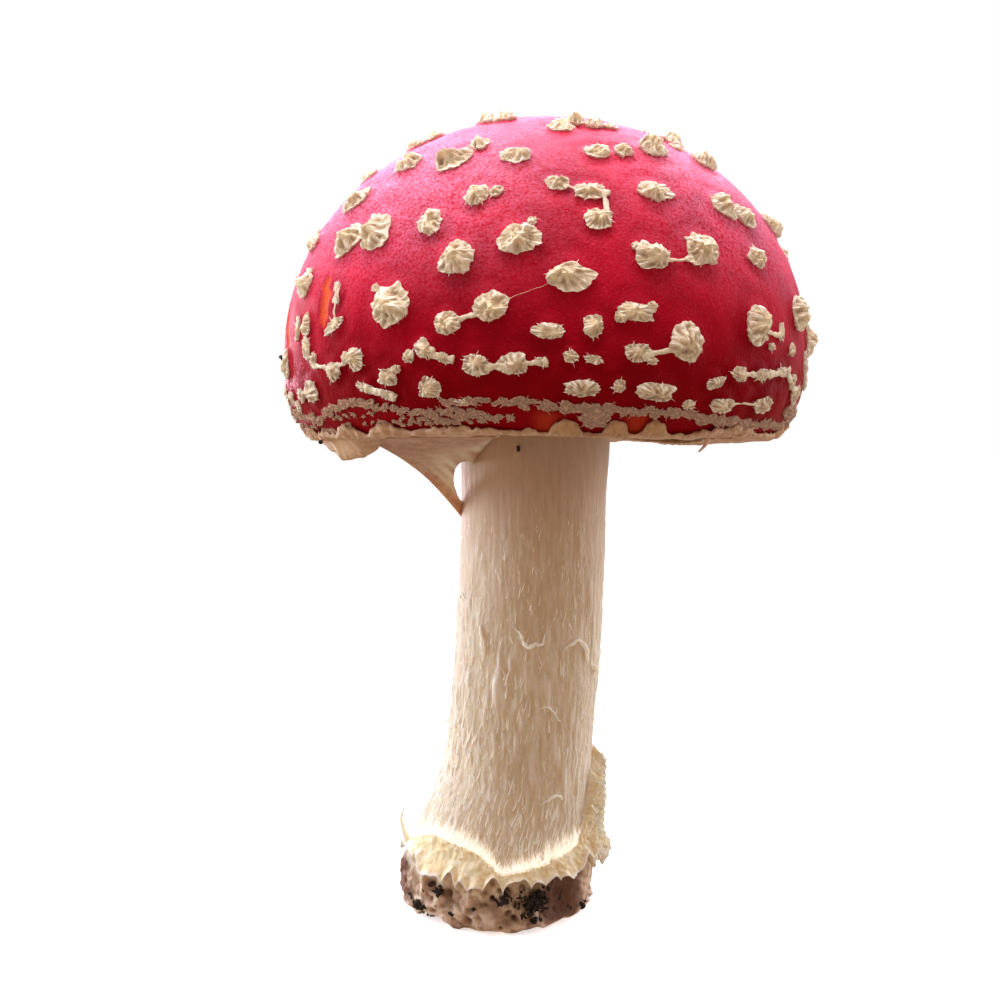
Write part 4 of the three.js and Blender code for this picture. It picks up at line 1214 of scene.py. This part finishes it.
        # the loose fibres glow a little: painted light
        finish = tissue_finish(
            "stem_scale", colour("fringe"), colour("stem"), grain=0.6, streak=(1, 1, 0.3), relief=0.04,
            glow=0.4, shine=0.1,
        )
        batch = Batch()
        draws = np.random.RandomState(33)
        count = 2000
        height = 13 + 58 * draws.uniform(0, 1, count) ** 2.4
        azimuth = draws.uniform(0, 360, count)
        length = draws.uniform(1.0, 3.6, count) * (1 - 0.5 * smoothstep(height, 30, 72))
        tilt = draws.normal(0, 3, count)
        root = on_stem(azimuth, height, 0.1)
        tip = on_stem(azimuth + tilt * 0.5, height + length, draws.uniform(0.04, 0.2, count))
        bends = outward(root, azimuth, height, 5) * draws.uniform(0.03, 0.16, (count, 1))
        widths = draws.uniform(0.1, 0.3, count) * (1 - 0.6 * smoothstep(height, 40, 72))
        add_fibres(batch, root, tip, widths, bends)
        t = np.linspace(0, 1, 26)
        for turns, levels, size in self.ridges:
            given = np.linspace(0, 1, len(turns))
            turn, level = np.interp(t, given, turns), np.interp(t, given, levels)
            spine = on_stem(turn, level, 0.35)
            level = level + 0.4 * noise(spine, 1.2, 34) + 0.25 * noise(spine, 0.5, 36)
            path = on_stem(turn, level, 0.1 + 0.3 * wave(t) + 0.12 * noise(spine, 0.6, 37))
            widths = size * (0.15 + 0.85 * wave(t)) * (1 + 0.6 * noise(path, 0.6, 35))
            add_strand(batch, path, widths * 0.7, widths * 1.5, outward(path, turn, level, 6))
        batch.mesh("stem_scales", finish, "stem")


# Levels of the collar's fringed upper ring and of its hem, round the bulb: azimuth, height.
RING_LEVELS = [
    (-180, 13.5), (-120, 12.8), (-85, 12.4), (-62, 14.4), (-48, 15.5), (-33, 15.1), (-17, 14.2),
    (-6, 12.4), (2, 10.9), (10, 11.2), (22, 11.7), (40, 12.5), (57, 13.3), (75, 14.6), (110, 14.4),
    (150, 13.0), (180, 13.5),
]
HEM_LEVELS = [
    (-180, 8.8), (-110, 9.6), (-75, 10.9), (-53, 10.0), (-36, 9.2), (-16, 8.7), (0, 8.6), (24, 9.3),
    (42, 9.5), (60, 9.4), (80, 8.2), (110, 8.4), (150, 9.0), (180, 8.8),
]


def level_round(levels, azimuth):
    """The collar's ring or hem: its height at an azimuth."""
    turns, heights = np.array(levels, float).T
    return smooth_curve(turns, heights, wrapped(azimuth))


def flap_share(azimuth):
    """How much of the flap up the stem's right side stands at an azimuth."""
    return hump(np.asarray(azimuth) - 86, 30)


class MUSHROOM_OT_volva(PieceOperator):
    """Add the ragged collar over the bulb, its flap and spike, and the white fringe above it"""

    bl_idname = "mushroom.volva"
    bl_label = "Volva"

    # the share of the collar that lies on its outside, and how far the flap stands over the ring
    outside = 0.7
    flap_rise = 12.5

    def build(self, sizes):
        finish = tissue_finish(
            "volva_tissue", colour("volva"), colour("volva_deep"), relief=0.14, glow=0.3,
            shadow=colour("bulb"), pale=colour("fringe"),
        )
        self.add_collar(finish)
        self.add_tufts(finish)
        self.add_spike(finish)
        self.add_fringe()

    def add_collar(self, finish):
        """Over the outside down to the scalloped hem, then back up inside it."""
        columns, rows = 900, 46
        azimuth, t = round_grid(columns, np.linspace(0, 1, rows))
        ring = level_ring(azimuth)
        scallop = scallop_at(azimuth)
        depth = 1.8 + 1.7 * noise(ring, 4.0, 72)
        fine = bumps(ring, 1.0, 73) + 0.6 * bumps(ring, 0.45, 78)
        flap = flap_share(azimuth)
        hem = level_round(HEM_LEVELS, azimuth) - 1.2 + depth * scallop
        hem = hem + 0.35 * noise(ring, 1.3, 69) - 0.15 * fine
        top = level_round(RING_LEVELS, azimuth) + self.flap_rise * flap + 0.25 * noise(ring, 1.1, 74)
        top = top + flap * (1.8 * noise(ring, 2.6, 79) + 0.9 * noise(ring, 0.9, 80))
        outer = t < self.outside
        s = np.where(outer, t / self.outside, 1 - (t - self.outside) / (1 - self.outside))
        height = top + (hem - top) * s
        base = on_stem(azimuth, height)
        rough = 0.3 * noise(base, 3.2, 70) + 0.22 * layered(base, 1.3, 75) + 0.12 * noise(base, 0.6, 77)
        tooth = (height / 1.3 + 0.9 * noise(ring, 3, 81)) % 1
        flap_out = flap * (1.2 + 1.1 * s + 1.2 * tooth) * smoothstep(s, -0.03, 0.15)
        flap_out = flap_out * smoothstep(1.1 - s, 0, 0.3)
        lobe = 0.9 * scallop * smoothstep(s, 0.5, 1.0) * smoothstep(s, 0.6, 1)
        proud = 0.7 * smoothstep(s, -0.12, 0.12) + 0.1 * s + lobe + rough * (1 - 0.6 * flap) + flap_out
        inside = -0.1 + (proud + 0.1 - 0.35) * np.maximum(s, 0) ** 4
        points = on_stem(azimuth, height, np.where(outer, proud, inside))
        # painted shade inside the collar and by the teeth near the hem; pale at the ledge under the fringe,
        # and a painted highlight along the hem's edge
        shadow = np.where(outer, 0.3 * (1 - scallop) * s**4, 0.7)
        pale = outer * np.maximum(smoothstep(s, 0.1, 0) * (1 - flap), 0.8 * smoothstep(s, 0.84, 1.0))
        add_piece("volva_collar", points, tube_faces(rows, columns), finish, "volva",
                  replaces=("volva",), masks={"shadow": shadow, "pale": pale})

    def add_tufts(self, finish):
        """Small spikes up the flap's edge and over the flap."""
        batch = Batch()
        draws = np.random.RandomState(91)
        count, on_edge = 150, 90
        turn, spread = draws.normal(91, 3.5, count), draws.uniform(66, 112, count)
        turn[on_edge:] = spread[on_edge:]
        share = draws.uniform(0.0, 0.95, count)
        flap = flap_share(turn)
        top, hem = level_round(RING_LEVELS, turn) + self.flap_rise * flap, level_round(HEM_LEVELS, turn)
        level = top + (hem - top) * share
        root = on_stem(turn, level, 0.8 + flap * (1.3 + 1.1 * share) * smoothstep(1.1 - share, 0, 0.3))
        tip = root + outward(root, turn, level, 8) * draws.uniform(0.25, 0.9, (count, 1))
        tip = tip + (0, 0, 1) * draws.uniform(-0.9, 0.3, (count, 1))
        add_fibres(batch, root, tip, draws.uniform(0.4, 1.0, count), np.zeros((count, 3)))
        batch.mesh("volva_tufts", finish, "volva", masks=batch.plain_masks(0.3))

    def add_spike(self, finish):
        """A thin torn point that stands away from the stem on the left."""
        t = np.linspace(0, 1, 24)
        x = np.interp(t, [0, 0.35, 0.65, 1], [-15.9, -16.9, -17.8, -16.9])
        path = np.stack([x, -1.2 + 0.6 * t, 8.6 + 9.6 * t], axis=-1)
        widths = 2.4 * (1 - t) ** 1.1 + 0.16
        batch = Batch()
        out = np.tile([-1.0, 0.15, 0.2], (len(t), 1))
        add_strand(batch, path, widths, widths * 0.5 + 0.1, unit(out))
        batch.mesh("volva_spike", finish, "volva", masks=batch.plain_masks(0.5))

    def add_fringe(self):
        """The frayed white ring where the stem meets the collar: stray fibres over a rough cord of tissue."""
        # the fringe glows: painted light standing in for the bright backlit ring
        finish = tissue_finish(
            "fringe_tissue", colour("fringe"), colour("stem"), grain=0.5, streak=(1, 1, 0.3), relief=0.05,
            glow=0.35, shine=0.3,
        )
        batch = Batch()
        draws = np.random.RandomState(47)
        count = 2000
        azimuth = draws.uniform(0, 360, count)
        low = level_round(RING_LEVELS, azimuth) - 0.35 + draws.uniform(-0.3, 0.3, count)
        root = on_stem(azimuth, low, draws.uniform(0.4, 0.9, count))
        length = 0.8 + 0.4 * hump(azimuth + 40, 60) + 0.7 * hump(azimuth - 38, 40)
        length = draws.uniform(0.6, 1.6, count) ** 2 * length
        turn = azimuth + draws.normal(0, 2.0, count)
        tip = on_stem(turn, low + length, draws.uniform(0.1, 0.9, count))
        add_fibres(batch, root, tip, draws.uniform(0.14, 0.36, count), np.zeros((count, 3)))
        columns, sides = 420, 8
        turn = np.arange(columns) * 360 / columns
        level = level_round(RING_LEVELS, turn) - 0.25
        path = on_stem(turn, level, 0.65)
        half = (0.5 + 0.3 * noise(path, 1.2, 48))[:, None, None] / 2
        out = outward(path, turn, level, 8)
        angles = circle(sides)[None, :, None]
        points = path[:, None] + np.cos(angles) * out[:, None] * half + np.sin(angles) * (0, 0, 1) * half
        batch.add(points, tube_faces(columns, sides))
        batch.mesh("stem_fringe", finish, "stem")


class MUSHROOM_OT_soil(PieceOperator):
    """Add the crumbs of soil caught on the bulb, the rim and a wart"""

    bl_idname = "mushroom.soil"
    bl_label = "Soil"

    # crumbs on the bulb: azimuth, height, spread, how many
    clusters = [
        (-56, 1.6, 1.1, 44), (-36, 6.8, 0.6, 16), (1, 6.3, 0.7, 34), (21, 5.4, 1.25, 120),
        (60, 2.4, 0.7, 9), (150, 3.4, 1.5, 30), (205, 5.4, 1.1, 18), (262, 2.6, 1.3, 20),
        (-50, 5.6, 0.25, 3), (-28, 2.8, 0.3, 3), (-40, 3.8, 0.3, 3), (47, 2.8, 0.25, 3),
        (-14, 4.2, 0.2, 2), (-66, 3.0, 0.5, 8), (22, 2.0, 0.6, 10),
    ]
    # crumbs on the cap: azimuth, polar measure, spread, how many
    on_skin = [(20.5, 126.0, 0.2, 1), (-63.0, 128.5, 1.6, 7), (-76.0, 93.0, 1.3, 6), (-77.0, 101.0, 1.1, 4)]

    def build(self, sizes):
        batch = Batch()
        draws = np.random.RandomState(63)
        ball = lump_shape()
        for turn, level, spread, count in self.clusters:
            # only a wide cluster has big crumbs, some of them standing out
            wide = spread > 0.5
            for _ in range(count):
                at = on_stem(
                    turn + np.degrees(draws.normal(0, spread) / BULB_RADIUS),
                    level + draws.normal(0, 0.8 * spread), draws.uniform(-0.9, 0.45 if wide else -0.1),
                )
                at[2] = max(at[2], 0.7)
                size = draws.uniform(0.25, 0.75 if wide else 0.55) * draws.uniform(0.5, 1.6, 3)
                add_lump(batch, ball, at, size, 0.75, draws.randint(999))
        for azimuth, polar, spread, count in self.on_skin:
            for _ in range(count):
                at = skin(azimuth, polar) + draws.normal(0, 0.35 * spread, 3)
                add_lump(batch, ball, at, draws.uniform(0.5, 1.1, 3), 0.5, draws.randint(999))
        # one long crumb high on the stem
        add_lump(batch, ball, on_stem(-14.5, 81.4, 0.15), (0.6, 0.5, 1.1), 0.3, 3)
        nodes = [f"soil_crumb_{i + 1}" for i in range(8)]
        batch.mesh("soil", soil_finish(), "soil", replaces=nodes)


class MUSHROOM_OT_stage(bpy.types.Operator):
    """Add the pale floor, the soft light and the camera"""

    bl_idname = "mushroom.stage"
    bl_label = "Stage"

    # name, place and size in metres, power, tint
    lights = [
        ("light_left", (-0.50, 0.15, 0.16), 0.5, 3.9, (0.8, 0.9, 1.0)),
        ("light_right", (0.46, 0.26, 0.12), 0.4, 2.3, (0.84, 0.92, 1.0)),
        ("light_sheen", (-0.02, 0.44, 0.58), 0.8, 21.0, (0.78, 0.68, 1.0)),
        ("light_edge", (-0.34, 0.48, 0.12), 0.2, 2.6, (1.0, 0.74, 0.92)),
        ("light_top", (-0.06, -0.06, 0.62), 0.45, 3.8, (1.0, 0.92, 0.94)),
    ]

    def execute(self, context):
        scene = context.scene
        scene.view_settings.view_transform = "Standard"
        self.add_floor(scene)
        self.add_world(scene)
        for name, place, size, power, tint in self.lights:
            light = self.add_light(scene, name, place, size, power, tint)
            # two lamps only light the tissue and two only shine on it
            light.visible_diffuse = name not in ("light_sheen", "light_edge")
            light.visible_glossy = name not in ("light_left", "light_right")
        lens = bpy.data.cameras.new("camera")
        lens.lens, lens.sensor_width = 43.2, 36.0
        lens.clip_start, lens.clip_end = 0.01, 20
        camera = bpy.data.objects.new("camera", lens)
        camera.location = (0, -0.213, 0.0833)
        camera.rotation_euler = (math.radians(87), 0, 0)
        scene.collection.objects.link(camera)
        scene.camera = camera
        return {"FINISHED"}

    def add_floor(self, scene):
        mesh = bpy.data.meshes.new("floor")
        half = 3.0
        corners = [(-half, -half, 0), (half, -half, 0), (half, half, 0), (-half, half, 0)]
        mesh.from_pydata(corners, [], [(0, 1, 2, 3)])
        material, f = new_finish("floor")
        pale = f.mix(f.grain(60, 2) * 0.1, (0.93, 0.93, 0.93), (0.9, 0.9, 0.9))
        f.surface(
            base_color=pale, roughness=0.9, emission_color=(1.0, 1.0, 1.0, 1.0), emission_strength=0.6
        )
        mesh.materials.append(material)
        floor = bpy.data.objects.new("floor", mesh)
        floor.visible_diffuse = False
        floor.visible_glossy = False
        scene.collection.objects.link(floor)

    def add_world(self, scene):
        world = bpy.data.worlds.new("world")
        scene.world = world
        f = Finish(world)
        direction = f.node("ShaderNodeTexCoord")
        parts = f.node("ShaderNodeSeparateXYZ", None, {0: direction})
        x, y, z = (Value(f, parts.socket.node.outputs[i]) for i in range(3))
        # bright sky above and behind, dim warm light from the front and along the ground
        behind = f.step(z, -0.05, 0.5) * f.step(y - 0.1 * x, -0.8, 0.5)
        light = f.mix(behind, colour("light_front"), colour("light_back"))
        light = f.mix(f.node("ShaderNodeLightPath"), light, (1.0, 1.0, 1.0))
        sky = f.node("ShaderNodeBackground", None, {"Color": light, "Strength": 1.0})
        f.node("ShaderNodeOutputWorld", None, {"Surface": sky})

    def add_light(self, scene, name, place, size, power, tint):
        lamp = bpy.data.lights.new(name, "AREA")
        lamp.shape, lamp.size, lamp.energy, lamp.color = "DISK", size, power, tint
        light = bpy.data.objects.new(name, lamp)
        light.location = place
        aim = Vector((0.005, 0, 0.08)) - light.location
        light.rotation_euler = aim.to_track_quat("-Z", "Y").to_euler()
        scene.collection.objects.link(light)
        return light


# ---- Settings and panel ----


def length_setting(name, description, default):
    return FloatProperty(
        name=name, description=description, default=default, unit="LENGTH", subtype="DISTANCE"
    )


def colour_setting(name, description, default):
    return FloatVectorProperty(
        name=name, description=description, default=default, subtype="COLOR", size=3, min=0, max=4
    )


class MushroomSizes(bpy.types.PropertyGroup):
    cap_radius: length_setting("Cap Radius", "Radius of the cap at its widest level", 0.045)
    veil_thickness: length_setting("Veil Thickness", "Thickness of the torn veil", 0.0004)
    wart_lift: FloatProperty(name="Wart Lift", description="Height of the warts, as a share", default=1.0)
    gill_count: IntProperty(name="Gills", description="Number of gills of all lengths", default=144)
    tooth_count: IntProperty(name="Scallops", description="Number of scallops on the volva's hem", default=30)


class MushroomColours(bpy.types.PropertyGroup):
    skin: colour_setting("Skin", "Crimson of the upper cap", (0.66, 0.005, 0.034))
    skin_deep: colour_setting("Deep Skin", "Darker crimson towards the rim", (0.305, 0.0008, 0.006))
    skin_scar: colour_setting("Scar", "Orange flesh where the skin is broken", (0.75, 0.1, 0.03))
    wart: colour_setting("Wart", "Cream of the warts", (1.0, 0.93, 0.62))
    wart_crease: colour_setting("Wart Crease", "Tan in the warts' creases", (0.66, 0.46, 0.22))
    wart_edge: colour_setting("Wart Edge", "Shaded tissue under the warts' edges", (0.3, 0.15, 0.06))
    # also the painted highlight on the warts' crests
    wart_highlight_and_fringe: colour_setting("Wart Fringe", "White of the warts' frayed edges", (1.0, 0.97, 0.85))
    rim: colour_setting("Rim", "Pinkish cream of the flakes at the rim", (0.34, 0.165, 0.08))
    rim_deep: colour_setting("Deep Rim", "Brown between the flakes at the rim", (0.3, 0.13, 0.07))
    # also the painted highlight on the flakes' crests
    rim_highlight_and_fringe: colour_setting("Rim Fringe", "Pale tips of the flakes at the rim", (0.6, 0.35, 0.22))
    veil: colour_setting("Veil", "Pinkish tan of the veil", (0.84, 0.62, 0.48))
    veil_deep: colour_setting("Deep Veil", "Darker tan of the veil's folds", (0.5, 0.29, 0.17))
    veil_tan: colour_setting("Tan Veil", "Yellowish tan of the veil's scales", (0.6, 0.37, 0.19))
    gill: colour_setting("Gill", "White of the gills", (0.88, 0.82, 0.7))
    gill_deep: colour_setting("Deep Gill", "Cream between the gills", (0.72, 0.62, 0.47))
    stem: colour_setting("Stem", "White of the stem's fibres", (0.93, 0.87, 0.72))
    stem_shade: colour_setting("Stem Shade", "Cream between the stem's fibres", (0.72, 0.59, 0.4))
    # painted shade that the cap casts on the upper stem
    stem_cap_shade: colour_setting("Stem Top", "Pinkish tan under the cap", (0.56, 0.34, 0.27))
    fringe: colour_setting("Fringe", "Bright white of the fringe", (1.0, 0.96, 0.9))
    volva: colour_setting("Volva", "Cream yellow of the collar", (1.0, 0.92, 0.68))
    volva_deep: colour_setting("Deep Volva", "Ochre in the collar's folds", (0.84, 0.61, 0.29))
    bulb: colour_setting("Bulb", "Pinkish tan of the bulb", (0.9, 0.73, 0.56))
    bulb_deep: colour_setting("Deep Bulb", "Brown of the bulb's hollows", (0.5, 0.33, 0.23))
    soil: colour_setting("Soil", "Dark humus", (0.02, 0.014, 0.012))
    light_front: colour_setting("Front Light", "Dim warm light from the front", (0.5, 0.36, 0.26))
    light_back: colour_setting("Back Light", "Bright light from behind", (1.1, 1.05, 1.38))


PIECES = [
    MUSHROOM_OT_cap, MUSHROOM_OT_warts, MUSHROOM_OT_rim, MUSHROOM_OT_veil, MUSHROOM_OT_gills,
    MUSHROOM_OT_stem, MUSHROOM_OT_volva, MUSHROOM_OT_soil, MUSHROOM_OT_stage,
]


class MUSHROOM_PT_panel(bpy.types.Panel):
    """The mushroom's settings and pieces in the 3D view's sidebar"""

    bl_idname = "MUSHROOM_PT_panel"
    bl_label = "Fly Agaric"
    bl_space_type = "VIEW_3D"
    bl_region_type = "UI"
    bl_category = "Mushroom"

    def draw(self, context):
        for settings in (context.scene.mushroom_sizes, context.scene.mushroom_colours):
            for name in settings.__annotations__:
                self.layout.prop(settings, name)
        for piece in PIECES:
            self.layout.operator(piece.bl_idname)


CLASSES = [MushroomSizes, MushroomColours, *PIECES, MUSHROOM_PT_panel]


def register():
    for cls in CLASSES:
        bpy.utils.register_class(cls)
    bpy.types.Scene.mushroom_sizes = PointerProperty(type=MushroomSizes)
    bpy.types.Scene.mushroom_colours = PointerProperty(type=MushroomColours)


def unregister():
    del bpy.types.Scene.mushroom_colours
    del bpy.types.Scene.mushroom_sizes
    for cls in reversed(CLASSES):
        bpy.utils.unregister_class(cls)


def main():
    register()
    for name in ("cap", "warts", "rim", "veil", "gills", "stem", "volva", "soil", "stage"):
        getattr(bpy.ops.mushroom, name)()


if __name__ == "__main__":
    main()
